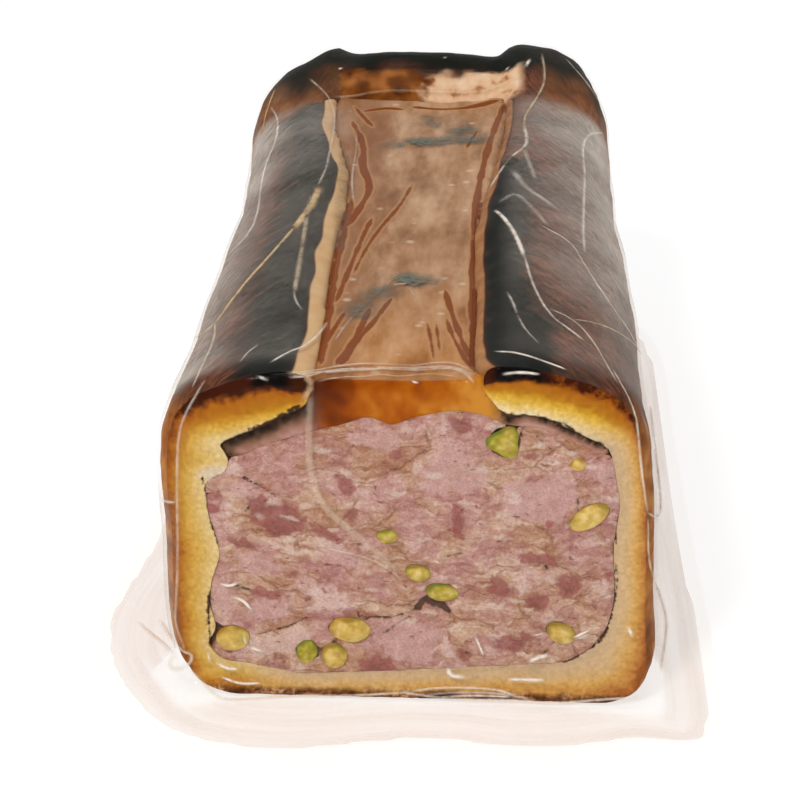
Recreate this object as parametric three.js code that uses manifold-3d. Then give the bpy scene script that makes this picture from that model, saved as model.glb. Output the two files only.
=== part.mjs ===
// Half a pate en croute in its clear vacuum pack, cut flat at the front.
//
// The loaf lies along +Y with its cut face on y = 0 and its left side towards -X.
// A pastry crust with an open channel along its top holds a forcemeat with
// pistachio kernels, and a jelly fills the channel. Two clear webs close round
// it: a flat one underneath, and one drawn down tight over the loaf, and they
// meet in a flat flange all the way round. Everything is in millimetres.

import * as THREE from "three";
import { mergeVertices } from "three/addons/utils/BufferGeometryUtils.js";
import Module from "manifold-3d";

const wasm = await Module();
wasm.setup();

// ---- Driving dimensions ----

const loafLength = 243;
const clearance = 0.3; // between pieces that touch
const filmThickness = 0.4;
const loafBase = filmThickness + clearance; // underside of the crust
const endCrust = 11; // end wall of the crust
const endFold = 32; // how far the end crust folds in over the filling

// The crust's skin at full width, x and z, from the left fold's tip round
// under the loaf to the right fold's tip.
const skinOutline = [
  [-23.2, 85.6], [-28.4, 87.6], [-34, 88.2], [-42, 86.9], [-50, 84.2], [-56.3, 80], [-60.1, 72.5],
  [-61.2, 61], [-60.6, 46], [-60.9, 28], [-60, 14.5], [-56.6, 5.8], [-50.5, loafBase],
  [-17, loafBase], [17, loafBase], [52.5, loafBase], [58.2, 4], [60.2, 11], [59.4, 22],
  [58.6, 42], [57.5, 61], [55.9, 73], [52.3, 81], [46, 86.2], [38, 88.9], [29, 90.7],
  [21.5, 90.7], [17.6, 89.5], [12.6, 86.2],
];

// The hollow inside the crust, from the left fold's tip round to the right one,
// and back under the end crust.
const hollowOutline = [
  [-26.9, 79.9], [-34, 75.8], [-41, 72.6], [-46.2, 70.8], [-43, 66.2], [-44.7, 62.4],
  [-49.6, 60.8], [-48.9, 52], [-46.2, 40.5], [-48.9, 32.5], [-49.5, 26], [-47.8, 19.8],
  [-50.6, 15], [-47.1, 10.5], [-38, 9.4], [-27.3, 7.1], [-10, 8.3], [12, 10], [37, 12.3],
  [43.4, 16], [47.6, 23], [48.9, 31], [48, 45], [49.2, 56.5], [47.3, 66.5], [46, 71.8],
  [39, 75], [31, 79], [26, 79.8], [22.2, 78.6], [9, 84], [-13, 84],
];

// Top of the forcemeat on the cut face, x and z.
const meatTopOutline = [
  [-58, 62], [-46, 66], [-40, 67.6], [-35.2, 70], [-27.5, 73], [-16.8, 76.1], [-10.5, 78.5],
  [-4.7, 76.2], [0.5, 78.4], [9, 80.4], [16, 79.6], [22, 76.8], [30, 76.4], [38, 73],
  [45, 69.6], [58, 67],
];

// The channel along the top, between the lips of the two folds.
const channelLeft = -23.4;
const channelRight = 12.6;
const rightLip = 5; // the right fold's lip is this much shorter at the cut
const spreadLeft = 9; // how much wider the channel is at its far end
const spreadRight = 8;
const channelEnd = loafLength - endFold;
const jellyLevel = 85.6;
const jellySwell = 2.4; // the jelly stands up this much at the cut
const rimStart = channelEnd - 8; // the folds begin to rise to the end crust's rim
const rimTop = channelEnd + 15; // and reach it
const innerRimTop = channelEnd + 11; // where the jelly has run up to the rim
const rimRise = 7.8; // the rim stands this much over the folds
const rimHeight = 96.2; // and this high between them
const rimFill = 1.2; // more along the folds' lips
const rightRimFill = 2; // and more at its right shoulder

// Edges of the whole loaf.
const cutEdgeInset = 3.6; // the crust's sides draw in at the cut
const cutEdgeDepth = 8;
const rearCornerInset = 16;
const rearCornerDepth = 30;
const rearTopInset = 10;
const rearTopDepth = 15;
const rightTaper = 4.4; // the right side comes in this much by the far end
const leftWaist = 3; // the left side comes in this much along the middle
const halfWidth = 60; // middle of the loaf to its side
const hollowHalfWidth = 49;
const leftLipRoot = -48; // the folds shift with the channel from here to their lips
const rightLipRoot = 38;

// Pistachio kernels on the cut face: centre x, z, width, height, tilt in
// degrees, and how far the kernel stands out of the face.
const kernels = [
  { x: -44.0, z: 17.2, wide: 9, high: 7.6, tilt: 12, proud: 0.8 },
  { x: -25.9, z: 13.9, wide: 5.6, high: 7.0, tilt: -8, proud: 0.3 },
  { x: -19.1, z: 12.8, wide: 6.6, high: 7.8, tilt: 10, proud: 0.7 },
  { x: -15.2, z: 20.4, wide: 11, high: 7.4, tilt: -6, proud: 0.8 },
  { x: 21.5, z: 72.6, wide: 8.0, high: 8.2, tilt: -30, proud: 0.3 },
  { x: -6.1, z: 46.8, wide: 5.7, high: 3.8, tilt: 0, proud: 0.2 },
  { x: 1.4, z: 36.8, wide: 6.7, high: 4.6, tilt: -14, proud: 0.2 },
  { x: 7.2, z: 31.6, wide: 8.6, high: 5.2, tilt: -10, proud: 0.2 },
  { x: 38.7, z: 67.2, wide: 3.9, high: 3.2, tilt: 0, proud: 0.2 },
  { x: 42.0, z: 53.3, wide: 11.4, high: 5.8, tilt: 36, proud: 0.8 },
  { x: 36.2, z: 20.9, wide: 8.2, high: 5.6, tilt: -32, proud: 0.6 },
];
const kernelDepth = 4;

// A hollow in the forcemeat that the knife opened.
const hole = { x: 3.1, z: 26.9, wide: 9.6, high: 2.6, tilt: -4, proud: 1 };

// Where the forcemeat has shrunk from the crust: x, z, reach and extra gap.
const shrinkage = [
  { x: 49, z: 38, reach: 17, gap: 0.9 },
  { x: -48, z: 30, reach: 9, gap: 1.1 },
  { x: -50, z: 13, reach: 6, gap: 1.2 },
];

// The welded flange of the pack on the table, x and y.
const flangeOutline = [
  [-84.2, 34], [-80.5, 12], [-70, -8], [-60, -19.5], [-45, -25.5], [-24, -26.2], [-2, -21.4],
  [10, -21.2], [27, -23.8], [46, -21], [60, -17.5], [71, -21.5], [75.4, -12], [76.6, 30],
  [75.4, 80], [74.4, 150], [74, 205], [69, 228], [50, 248], [4, 256], [-48, 251], [-68, 232],
  [-75, 200], [-76.5, 140], [-78.5, 75],
];
const flangeTop = loafBase + filmThickness;

// The film drawn over the loaf.
const filmCutGap = 1.2; // it stands this far off the cut face, over the kernels
const skirtSpread = 3.2; // how far the film runs out before it meets the flange
const skirtHeight = 13; // where it leaves the loaf's sides
const frontSkirtHeight = 6; // and the cut face
const cornerTent = 9; // how much further it runs out at the two cut corners
const cornerRise = 4; // and how much higher

// ---- Shape helpers ----

function smoothStep(from, to, value) {
  const t = THREE.MathUtils.clamp((value - from) / (to - from), 0, 1);
  return t * t * (3 - 2 * t);
}

// How far a quarter round has drawn in, where run goes from 0 at its end to 1.
function quarterRound(run) {
  return 1 - Math.sqrt(1 - (1 - THREE.MathUtils.clamp(run, 0, 1)) ** 2);
}

// A smooth line of evenly spaced [x, z] points through an outline.
function smoothLine(outline, count) {
  const curve = new THREE.CatmullRomCurve3(
    outline.map(([x, z]) => new THREE.Vector3(x, 0, z)), false, "centripetal");
  return curve.getSpacedPoints(count).map((point) => [point.x, point.z]);
}

// An outline [x, z] moved sideways, outwards by amount(x, z) where the outline
// runs anticlockwise as seen from the front.
function offsetOutline(outline, amount) {
  return outline.map(([x, z], i) => {
    const [beforeX, beforeZ] = outline[(i + outline.length - 1) % outline.length];
    const [afterX, afterZ] = outline[(i + 1) % outline.length];
    const along = new THREE.Vector2(afterX - beforeX, afterZ - beforeZ).normalize();
    const distance = amount(x, z);
    return [x + along.y * distance, z - along.x * distance];
  });
}

function toSolid(positions, index) {
  return new wasm.Manifold(new wasm.Mesh({
    numProp: 3,
    vertProperties: new Float32Array(positions),
    triVerts: new Uint32Array(index),
  }));
}

function fromGeometry(geometry) {
  geometry.deleteAttribute("normal");
  geometry.deleteAttribute("uv");
  const merged = mergeVertices(geometry);
  return toSolid(merged.attributes.position.array, merged.index.array);
}

// A solid through rings of equally many points, which run anticlockwise as seen
// from outside the first ring. Both ends are closed round the middle of a ring.
function loft(rings) {
  const size = rings[0].length;
  const points = rings.flat();
  const index = [];
  for (let r = 0; r + 1 < rings.length; r += 1) {
    for (let i = 0; i < size; i += 1) {
      const here = r * size + i;
      const next = r * size + (i + 1) % size;
      index.push(here, here + size, next, next, here + size, next + size);
    }
  }
  for (const r of [0, rings.length - 1]) {
    const box = new THREE.Box3().setFromPoints(rings[r].map((point) => new THREE.Vector3(...point)));
    points.push(box.getCenter(new THREE.Vector3()).toArray());
    for (let i = 0; i < size; i += 1) {
      const edge = [r * size + i, r * size + (i + 1) % size];
      index.push(points.length - 1, ...(r === 0 ? edge : edge.reverse()));
    }
  }
  return toSolid(points.flat(), index);
}

// Sections in x and z that follow one another along y.
function loftAlong(stations, section) {
  return loft(stations.map((y) => section(y).map(([x, z]) => [x, y, z])));
}

// Outlines in x and y, the lowest first.
function loftUp(rings) {
  return loft(rings.toReversed());
}

function slab(outline, from, thickness) {
  const shape = new THREE.Shape();
  shape.setFromPoints(outline.map(([x, y]) => new THREE.Vector2(x, y)));
  const geometry = new THREE.ExtrudeGeometry(shape, { depth: thickness, bevelEnabled: false });
  return fromGeometry(geometry.translate(0, 0, from));
}

// ---- The loaf as a whole ----

const skinPoints = smoothLine(skinOutline, 46);
const channelPoints = 6;

// Stations along the loaf: close at both ends, where its edges are rounded.
const middleStations = [22, 46, 70, 94, 118, 142, 166, 188];
const bodyStations = [
  0, 1.2, 3.6, cutEdgeDepth, ...middleStations, 206, channelEnd + 2, 219, 228, 234.5, 238.5,
  loafLength,
];

// Edges of the channel at y: its left one and its right one.
function channelEdges(y) {
  const left = channelLeft - spreadLeft * smoothStep(0.6 * channelEnd, channelEnd, y);
  const right = channelRight + spreadRight * smoothStep(0.4 * channelEnd, channelEnd, y);
  return [left + 0.5 * Math.sin(y / 17), right + 0.5 * Math.sin(y / 21) + rightLip * Math.exp(-y / 6)];
}

// How much the jelly stands up at the cut, on its way back to its level.
function swell(y) {
  return jellySwell * Math.exp(-y / 12);
}

// Height of the jelly in the channel, which rises on to the end crust.
function channelHeight(x, y) {
  const ripple = 0.4 * Math.sin(x / 9 + y / 13) * smoothStep(4, 25, y);
  const level = jellyLevel + swell(y) + ripple;
  return THREE.MathUtils.lerp(level, rimHeight, smoothStep(channelEnd, innerRimTop, y));
}

// How far a side of the loaf has come in at y, whichever side x is on.
function sideTaper(x, y) {
  const far = smoothStep(0.7 * loafLength, 0.88 * loafLength, y);
  const waist = leftWaist * smoothStep(15, 85, y) * (1 - 0.7 * far);
  return x > 0 ? rightTaper * (y / loafLength) : waist;
}

// How far the rear corners have come in at y, and how far the rear edge of the
// top has come down.
function rearInset(y) {
  return rearCornerInset * quarterRound((loafLength - y) / rearCornerDepth);
}

function rearFall(y) {
  return rearTopInset * quarterRound((loafLength - y) / rearTopDepth);
}

// The crust is a little uneven along its length, less so near the cut.
function sideWave(y, z) {
  const wave = 0.7 * Math.sin(y / 19 + z / 21) + 0.4 * Math.sin(y / 8.3 - z / 12);
  return wave * smoothStep(0, 30, y) * smoothStep(0, 8, z);
}

function topWave(x, y) {
  return 0.6 * Math.sin(y / 14 + x / 11) * smoothStep(0, 30, y);
}

// How far the end crust's rim has risen over the folds.
function rimLift(x, y) {
  const shoulder = Math.exp(-(((x - 44) / 10) ** 2)) * smoothStep(channelEnd, rimTop, y);
  return rimRise * smoothStep(rimStart, rimTop, y) + rightRimFill * shoulder;
}

// Moves a point of the front section to where it lies at y: the edges of the
// loaf are rounded, and the lips of the folds follow the channel.
function placeOnBody([x, z], y) {
  const side = 1 - 0.5 * smoothStep(70, 88, z);
  const frontInset = cutEdgeInset * quarterRound(y / cutEdgeDepth) * side;
  const draw = 1 - (frontInset + rearInset(y) + sideTaper(x, y)) / halfWidth;
  const [left, right] = channelEdges(y);
  const leftReach = smoothStep(leftLipRoot, channelLeft, x);
  const rightReach = 1 - smoothStep(channelRight, rightLipRoot, x);
  const lip = (x < 0 ? leftReach : rightReach) * smoothStep(80, 84, z);
  const rightAtCut = channelRight + rightLip * Math.exp(-y / 6);
  const lipShift = x < 0 ? left - channelLeft : right - rightAtCut;
  const lipLift = swell(y) + rimFill * smoothStep(channelEnd, innerRimTop, y);
  const upper = smoothStep(20, 80, z);
  return [
    x * draw + Math.sign(x) * sideWave(y, z) + lip * lipShift,
    Math.max(z, loafBase) + upper * (topWave(x, y) + rimLift(x, y) - rearFall(y)) + lip * lipLift,
  ];
}

// The section of the loaf at y, with the jelly level in the channel.
function bodySection(y) {
  const skin = skinPoints.map((point) => placeOnBody(point, y));
  const [rightX, rightZ] = skin[skin.length - 1];
  const [leftX, leftZ] = skin[0];
  const channel = [];
  for (let i = 1; i < channelPoints; i += 1) {
    const along = i / channelPoints;
    const x = THREE.MathUtils.lerp(rightX, leftX, along);
    const edge = THREE.MathUtils.lerp(rightZ, leftZ, along);
    const inside = Math.min(1, 4 * Math.min(along, 1 - along));
    channel.push([x, THREE.MathUtils.lerp(edge, channelHeight(x, y) - rearFall(y), inside)]);
  }
  return [...skin, ...channel];
}

// The loaf grown by an amount, and by another amount at the cut.
function body(grow, growCut) {
  const rings = bodyStations.map((y) => {
    const front = growCut * Math.max(0, 1 - y / cutEdgeDepth);
    const back = grow * smoothStep(loafLength - rearTopDepth, loafLength, y);
    const section = offsetOutline(bodySection(y), () => grow);
    return section.map(([x, z]) => [x, y - front + back, z]);
  });
  return loft(rings);
}

// ---- The hollow in the crust ----

const hollowLength = loafLength - endCrust;
const hollowStations = [-4, 6, ...middleStations, 208, 220, hollowLength];

// How far x moves in as the hollow narrows to the rear.
function narrowHollow(x, y) {
  return x * (1 - (rearInset(y) + sideTaper(x, y)) / hollowHalfWidth);
}

// The roof of the hollow rises and falls along the loaf.
function roofWave(x, y) {
  return 0.7 * Math.sin(y / 12 + x / 10) * smoothStep(2, 22, y);
}

function placeInHollow([x, z], y) {
  const wave = 0.9 * Math.sin(y / 16 + z / 11) + 0.5 * Math.sin(y / 7 + z / 6);
  const side = smoothStep(0, 30, Math.abs(x)) * Math.sign(x);
  return [narrowHollow(x, y) + side * wave * smoothStep(2, 22, y), z + roofWave(x, y)];
}

// The room for the filling below the folds, drawn in by shrink(x, z).
function hollow(shrink) {
  const rings = hollowStations.map((y) => {
    const placed = hollowOutline.map((point) => placeInHollow(point, y));
    const section = offsetOutline(placed, (x, z) => -shrink(x, z));
    const end = y === hollowLength ? y - shrink(0, 0) : y;
    return section.map(([x, z]) => [x, end, z]);
  });
  return loft(rings);
}

// The open channel between the folds, from inside the hollow to above the loaf.
// Its sides lean out downwards, under the lips.
function channel(inset) {
  const bottom = 74;
  const top = 112;
  const lean = { left: 0.35, right: 0.8 };
  const stations = [-4, 4, 10, ...middleStations, channelEnd - inset];
  return loftAlong(stations, (y) => {
    const [left, right] = channelEdges(Math.max(y, 0));
    const down = jellyLevel - bottom;
    return [
      [left + inset, top],
      [left + inset, jellyLevel],
      [left + inset - lean.left * down, bottom],
      [right - inset + lean.right * down, bottom],
      [right - inset, jellyLevel],
      [right - inset, top],
    ];
  });
}

// ---- The filling ----

// Everything above the forcemeat, lifted by an amount.
function aboveMeat(lift) {
  const ceiling = 130;
  const stations = [-6, 4, ...middleStations, 208, loafLength];
  return loftAlong(stations, (y) => {
    const settle = smoothStep(2, 20, y);
    const floor = meatTopOutline.map(([x, z]) => {
      const wave = 1.3 * Math.sin(x / 8 + y / 10) + 0.8 * Math.sin(x / 15 - y / 21);
      const middle = 1 - smoothStep(12, 26, Math.abs(x));
      return [narrowHollow(x, y), z + lift + roofWave(x, y) + wave * settle * middle];
    });
    return [...floor, [floor.at(-1)[0], ceiling], [floor[0][0], ceiling]];
  });
}

// A kernel grown by an amount: a rounded lens where it stands out of the cut
// face, and a full half kernel behind it.
function kernel({ x, z, wide, high, tilt, proud }, grow) {
  const geometry = new THREE.SphereGeometry(1, 10, 6);
  const position = geometry.attributes.position;
  for (let i = 0; i < position.count; i += 1) {
    const depth = position.getY(i) < 0 ? proud + grow : kernelDepth + grow;
    position.setXYZ(
      i,
      position.getX(i) * (wide / 2 + grow),
      position.getY(i) * depth,
      position.getZ(i) * (high / 2 + grow),
    );
  }
  geometry.rotateY(THREE.MathUtils.degToRad(-tilt));
  return fromGeometry(geometry.translate(x, 0, z));
}

function fillingShrink(x, z) {
  return shrinkage.reduce((gap, spot) => {
    const near = Math.exp(-(((x - spot.x) / spot.reach) ** 2) - ((z - spot.z) / spot.reach) ** 2);
    return gap + spot.gap * near;
  }, clearance);
}

// ---- The film ----

// The foot of the film on the table: a point and the way out from the loaf for
// each step round the loaf, with the two cut corners standing out further.
function filmFoot(steps) {
  const left = -57.5;
  const right = 56.5;
  const back = loafLength - 2;
  const rearRadius = 22;
  const frontRadius = 5;
  const foot = new THREE.Shape();
  foot.moveTo(left + frontRadius, 0);
  foot.lineTo(right - frontRadius, 0);
  foot.quadraticCurveTo(right, 0, right, frontRadius);
  foot.lineTo(right - rightTaper, back - rearRadius);
  foot.quadraticCurveTo(right - rightTaper, back, right - rearRadius, back);
  foot.lineTo(left + rearRadius, back);
  foot.quadraticCurveTo(left, back, left, back - rearRadius);
  foot.lineTo(left, frontRadius);
  foot.quadraticCurveTo(left, 0, left + frontRadius, 0);
  return foot.getSpacedPoints(steps).slice(0, steps);
}

// The skirt where the film leaves the loaf's sides and runs out to the flange.
// Drawn in, it is the room under the film, which is open below.
function skirt(drawIn) {
  const withinLoaf = -3; // the skirt's top edge lies inside the loaf's side
  const floor = drawIn > 0 ? -1 : loafBase;
  const weld = drawIn > 0 ? loafBase + 0.1 : flangeTop;
  const points = filmFoot(64);
  const outward = points.map((point, i) => {
    const before = points[(i + points.length - 1) % points.length];
    const after = points[(i + 1) % points.length];
    const along = after.clone().sub(before).normalize();
    return new THREE.Vector2(along.y, -along.x);
  });
  const ring = (z, reach) => points.map((point, i) => {
    const distance = reach(point);
    return [point.x + outward[i].x * distance, point.y + outward[i].y * distance, z(point)];
  });
  const cutCorner = ({ x, y }) => Math.exp(-((y / 12) ** 2) - (((Math.abs(x) - 57) / 12) ** 2));
  const spread = (point) => skirtSpread + cornerTent * cutCorner(point) - drawIn;
  const height = (point) => {
    const along = THREE.MathUtils.lerp(frontSkirtHeight, skirtHeight, smoothStep(0, 6, point.y));
    return along + cornerRise * cutCorner(point) - drawIn * 1.2;
  };
  const foot = ring(() => floor, spread);
  const base = ring(() => weld, spread);
  const top = ring(height, () => withinLoaf - drawIn);
  return loftUp([foot, base, top]);
}

// ---- Pieces ----

const loaf = new THREE.Group();

function addPiece(name, solid, material) {
  const mesh = solid.getMesh();
  const geometry = new THREE.BufferGeometry();
  geometry.setAttribute("position", new THREE.BufferAttribute(mesh.vertProperties, 3));
  geometry.setIndex(new THREE.BufferAttribute(mesh.triVerts, 1));
  geometry.computeVertexNormals();
  const piece = new THREE.Mesh(geometry, material);
  piece.name = name;
  loaf.add(piece);
}

const crustMaterial = new THREE.MeshStandardMaterial({ color: "#b9823f", roughness: 0.6, metalness: 0 });
const meatMaterial = new THREE.MeshStandardMaterial({ color: "#b98a86", roughness: 0.45, metalness: 0 });
const jellyMaterial = new THREE.MeshStandardMaterial({ color: "#a8622a", roughness: 0.15, metalness: 0 });
const kernelMaterial = new THREE.MeshStandardMaterial({ color: "#b5a63c", roughness: 0.4, metalness: 0 });
const filmMaterial = new THREE.MeshStandardMaterial({
  color: "#f0ece8", roughness: 0.08, metalness: 0, transparent: true, opacity: 0.25,
});

const wholeLoaf = body(0, 0);
const crust = wholeLoaf.subtract(hollow(() => 0).add(channel(0)));
addPiece("crust", crust, crustMaterial);

const filling = hollow(fillingShrink).add(channel(clearance)).intersect(wholeLoaf);
const pockets = kernels.map((kernelSize) => kernel(kernelSize, clearance));
const holePocket = kernel(hole, 0);
let forcemeat = filling.subtract(aboveMeat(0)).subtract(holePocket);
for (const pocket of pockets) {
  forcemeat = forcemeat.subtract(pocket);
}
addPiece("forcemeat", forcemeat, meatMaterial);

let jelly = filling.intersect(aboveMeat(clearance));
for (const pocket of pockets) {
  jelly = jelly.subtract(pocket);
}
addPiece("jelly", jelly, jellyMaterial);

kernels.forEach((kernelSize, i) => {
  const name = `pistachio_${String(i + 1).padStart(2, "0")}`;
  addPiece(name, kernel(kernelSize, 0), kernelMaterial);
});

const flangeCurve = new THREE.CatmullRomCurve3(
  flangeOutline.map(([x, y]) => new THREE.Vector3(x, y, 0)), true, "centripetal");
const flange = flangeCurve.getSpacedPoints(72).slice(0, 72).map(({ x, y }) => [x, y]);
addPiece("film_base", slab(flange, 0, filmThickness), filmMaterial);

const filmOutside = body(clearance + filmThickness, filmCutGap + filmThickness);
const filmInside = body(clearance, filmCutGap);
const underneath = slab(flange, -5, 5 + loafBase);
const film = filmOutside
  .add(skirt(0))
  .add(slab(flange, loafBase, filmThickness))
  .subtract(filmInside)
  .subtract(skirt(1.5 * filmThickness))
  .subtract(underneath);
addPiece("film_top", film, filmMaterial);

// The pack's outline on the table is centred on the origin.
const box = new THREE.Box3().setFromObject(loaf);
const centre = box.getCenter(new THREE.Vector3());
loaf.position.set(-centre.x, -centre.y, -box.min.z);

export default loaf;
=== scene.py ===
# Half a loaf of pate en croute in its clear vacuum pack, as it lies on a white table.
#
# The loaf is baked in a pastry crust, cut through, and sealed between two webs of film. The file follows
# the pack as it is put together: the crust, its filling, and then the film that is drawn down over them.

import math

import bmesh
import bpy
import numpy as np
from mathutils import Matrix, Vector, noise
from mathutils.bvhtree import BVHTree
from mathutils.kdtree import KDTree


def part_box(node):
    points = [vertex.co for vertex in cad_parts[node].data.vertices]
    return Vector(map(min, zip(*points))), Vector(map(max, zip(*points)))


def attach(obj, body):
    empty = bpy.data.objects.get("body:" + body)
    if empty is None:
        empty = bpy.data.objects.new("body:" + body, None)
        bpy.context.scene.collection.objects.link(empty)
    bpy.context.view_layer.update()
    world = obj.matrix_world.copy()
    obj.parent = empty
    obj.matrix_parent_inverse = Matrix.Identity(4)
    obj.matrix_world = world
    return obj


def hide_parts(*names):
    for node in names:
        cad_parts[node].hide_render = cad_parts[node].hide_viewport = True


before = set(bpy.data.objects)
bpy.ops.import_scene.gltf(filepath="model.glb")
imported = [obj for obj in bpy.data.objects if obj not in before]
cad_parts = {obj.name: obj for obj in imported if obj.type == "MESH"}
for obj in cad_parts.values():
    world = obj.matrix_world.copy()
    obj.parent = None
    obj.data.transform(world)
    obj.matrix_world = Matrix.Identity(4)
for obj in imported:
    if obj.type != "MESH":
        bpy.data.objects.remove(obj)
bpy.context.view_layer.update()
scene = bpy.context.scene

# ---- Camera ----
# The photograph looks down on the cut end of the loaf, from just right of its middle. Places on the loaf
# are given in millimetres from the middle of the cut's foot: x to the right, y along the loaf, z up.

MM = 0.001
crust_low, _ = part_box("crust")
loaf_left = -61.4
loaf_foot = Vector((crust_low.x - loaf_left * MM, crust_low.y, 0))
photo_width = 800

camera_pitch = math.radians(26)
camera_yaw = math.radians(2.694)
camera_place = Vector((18.3, -452.5, 304.0)) * MM
bpy.ops.object.camera_add(
    location=loaf_foot + camera_place,
    rotation=(math.radians(90) - camera_pitch, 0, camera_yaw),
)
camera = bpy.context.object
camera.data.lens = 97.98
camera.data.sensor_width = 36
scene.camera = camera
bpy.context.view_layer.update()


def photo_ray(pixel):
    """The way from the camera through a pixel of the photograph."""
    reach = camera.data.lens / camera.data.sensor_width * photo_width
    across = Vector((pixel[0] - photo_width / 2, photo_width / 2 - pixel[1], -reach))
    return (camera.matrix_world.to_3x3() @ across).normalized()


# ---- Table, sky and lamps ----
# A white sweep with no edge in view, lit until it burns out. Soft light comes from all round, a lamp above
# and in front of the left end gives the film some real glints, and a white wall behind adds a real
# reflection to the top. Most of the glints and most of the sheen on top are painted on the film, below.

just_under_pack = -0.4 * MM
bpy.ops.mesh.primitive_plane_add(size=30, location=(0, 0, just_under_pack))
table = bpy.context.object
table.name = "table"

scene.view_settings.view_transform = "Standard"
scene.world = bpy.data.worlds.new("white studio")
scene.world.use_nodes = True
sky = scene.world.node_tree.nodes["Background"]
sky.inputs["Color"].default_value = (1, 1, 1, 1)
sky.inputs["Strength"].default_value = 0.36


def linear(hex_colour):
    """An sRGB hex colour as linear red, green, blue and a full alpha."""
    parts = [int(hex_colour[i:i + 2], 16) / 255 for i in (1, 3, 5)]
    return tuple(c / 12.92 if c < 0.04045 else ((c + 0.055) / 1.055) ** 2.4 for c in parts) + (1,)


def add_node(tree, kind, inputs, stops=(), **settings):
    """Adds a shader node with its settings, its inputs or links, and the stops of its colour ramp."""
    made = tree.nodes.new("ShaderNode" + kind)
    for name, value in settings.items():
        setattr(made, name, value)
    for name, value in inputs.items():
        socket = made.inputs[name]
        if isinstance(value, bpy.types.Node):
            tree.links.new(value.outputs[0], socket)
        elif isinstance(value, bpy.types.NodeSocket):
            tree.links.new(value, socket)
        elif isinstance(value, str):
            socket.default_value = linear(value)
        else:
            socket.default_value = value
    for i, (place, hex_colour) in enumerate(sorted(stops)):
        elements = made.color_ramp.elements
        stop = elements[i] if i < 2 else elements.new(place)
        stop.position = place
        stop.color = linear(hex_colour)
    return made


def new_material(name):
    """An empty material and its node tree."""
    material = bpy.data.materials.new(name)
    material.use_nodes = True
    material.node_tree.nodes.clear()
    return material, material.node_tree


# A white sweep of paper, lit so that it burns out like the one in the studio.
paper, tree = new_material("white sweep")
white = add_node(tree, "BsdfDiffuse", {"Color": "#a4a4a4"})
glow = add_node(tree, "Emission", {"Color": (1, 1, 1, 1), "Strength": 0.78})
both = add_node(tree, "AddShader", {0: white, 1: glow})
add_node(tree, "OutputMaterial", {"Surface": both})
table.data.materials.append(paper)


def add_lamp(name, place, size, power):
    """A square soft box at a place in metres, which faces the middle of the loaf."""
    towards = Vector((0, 0, 0.05)) - Vector(place)
    turn = towards.to_track_quat("-Z", "Y").to_euler()
    bpy.ops.object.light_add(type="AREA", location=place, rotation=turn)
    lamp = bpy.context.object
    lamp.name = name
    lamp.data.size = size
    lamp.data.energy = power


add_lamp("front lamp", (-0.45, -0.9, 1.15), 0.22, 9)
add_lamp("top box", (0.0, -0.3, 1.6), 0.8, 4)
add_lamp("back wall", (0.0, 2.4, 0.9), 2.6, 9)

# ---- Crust ----
# Hot-water pastry about 10 mm thick, baked in a tin: cream inside, golden towards its skin, brown where
# it met the tin, and burnt nearly black along the folds on top and on the rim of its end.

touching = 0.001 * MM  # points this near to each other, or to a cutting plane, are at one place
fold_height = 86  # in mm, like every size on the loaf from here on
end_wall = 239
rim_starts, rim_stands = 190, 205
stroke_slant = math.radians(52)


def select_only(piece):
    bpy.ops.object.select_all(action="DESELECT")
    piece.select_set(True)
    bpy.context.view_layer.objects.active = piece


def edit_all(piece, operator, **settings):
    """Runs one of edit mode's operators on the whole of a piece."""
    select_only(piece)
    bpy.ops.object.mode_set(mode="EDIT")
    bpy.ops.mesh.select_all(action="SELECT")
    operator(threshold=touching, **settings)
    bpy.ops.object.mode_set(mode="OBJECT")


def merged_copy(node, name):
    """A new piece from a node's own solid, with its loose triangles joined up."""
    piece = bpy.data.objects.new(name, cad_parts[node].data.copy())
    scene.collection.objects.link(piece)
    piece.data.materials.clear()
    edit_all(piece, bpy.ops.mesh.remove_doubles)
    return piece


def dress(piece, material):
    """Gives a piece its material, and shades it smooth."""
    piece.data.materials.append(material)
    select_only(piece)
    bpy.ops.object.shade_smooth()


def shape(piece, kind, **settings):
    """Adds a modifier with its settings, and applies it."""
    modifier = piece.modifiers.new(kind, kind)
    for name, value in settings.items():
        setattr(modifier, name, value)
    select_only(piece)
    bpy.ops.object.modifier_apply(modifier=modifier.name)


def select_faces(piece, wanted):
    """Selects the faces for which wanted(face) is true, ready for edit mode."""
    select_only(piece)
    bpy.ops.object.mode_set(mode="EDIT")
    bpy.ops.mesh.select_mode(type="FACE")
    bpy.ops.mesh.select_all(action="DESELECT")
    bpy.ops.object.mode_set(mode="OBJECT")
    for face in piece.data.polygons:
        face.select = wanted(face)
    bpy.ops.object.mode_set(mode="EDIT")


def on_cut(face):
    return face.normal.y < -0.9 and abs(face.center.y - loaf_foot.y) < 0.3 * MM


def rounded_with_clean_cut(piece, grain, rounds, face_grain):
    """Rounds a faceted solid all over, and cuts it flat again where the knife went.

    The cut face is pulled forward before the rounding, cut off after it, and then cut into a grid that is
    fine enough to carry its colour and relief."""
    select_faces(piece, on_cut)
    bpy.ops.mesh.extrude_region_move(TRANSFORM_OT_translate={"value": (0, -4 * MM, 0)})
    bpy.ops.object.mode_set(mode="OBJECT")
    shape(piece, "REMESH", mode="VOXEL", voxel_size=grain * MM, adaptivity=0)
    shape(piece, "SMOOTH", factor=0.5, iterations=rounds)
    edit_all(
        piece, bpy.ops.mesh.bisect, plane_co=loaf_foot, plane_no=(0, -1, 0), use_fill=True,
        clear_outer=True)
    grid_cut_face(piece, face_grain * MM)


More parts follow.
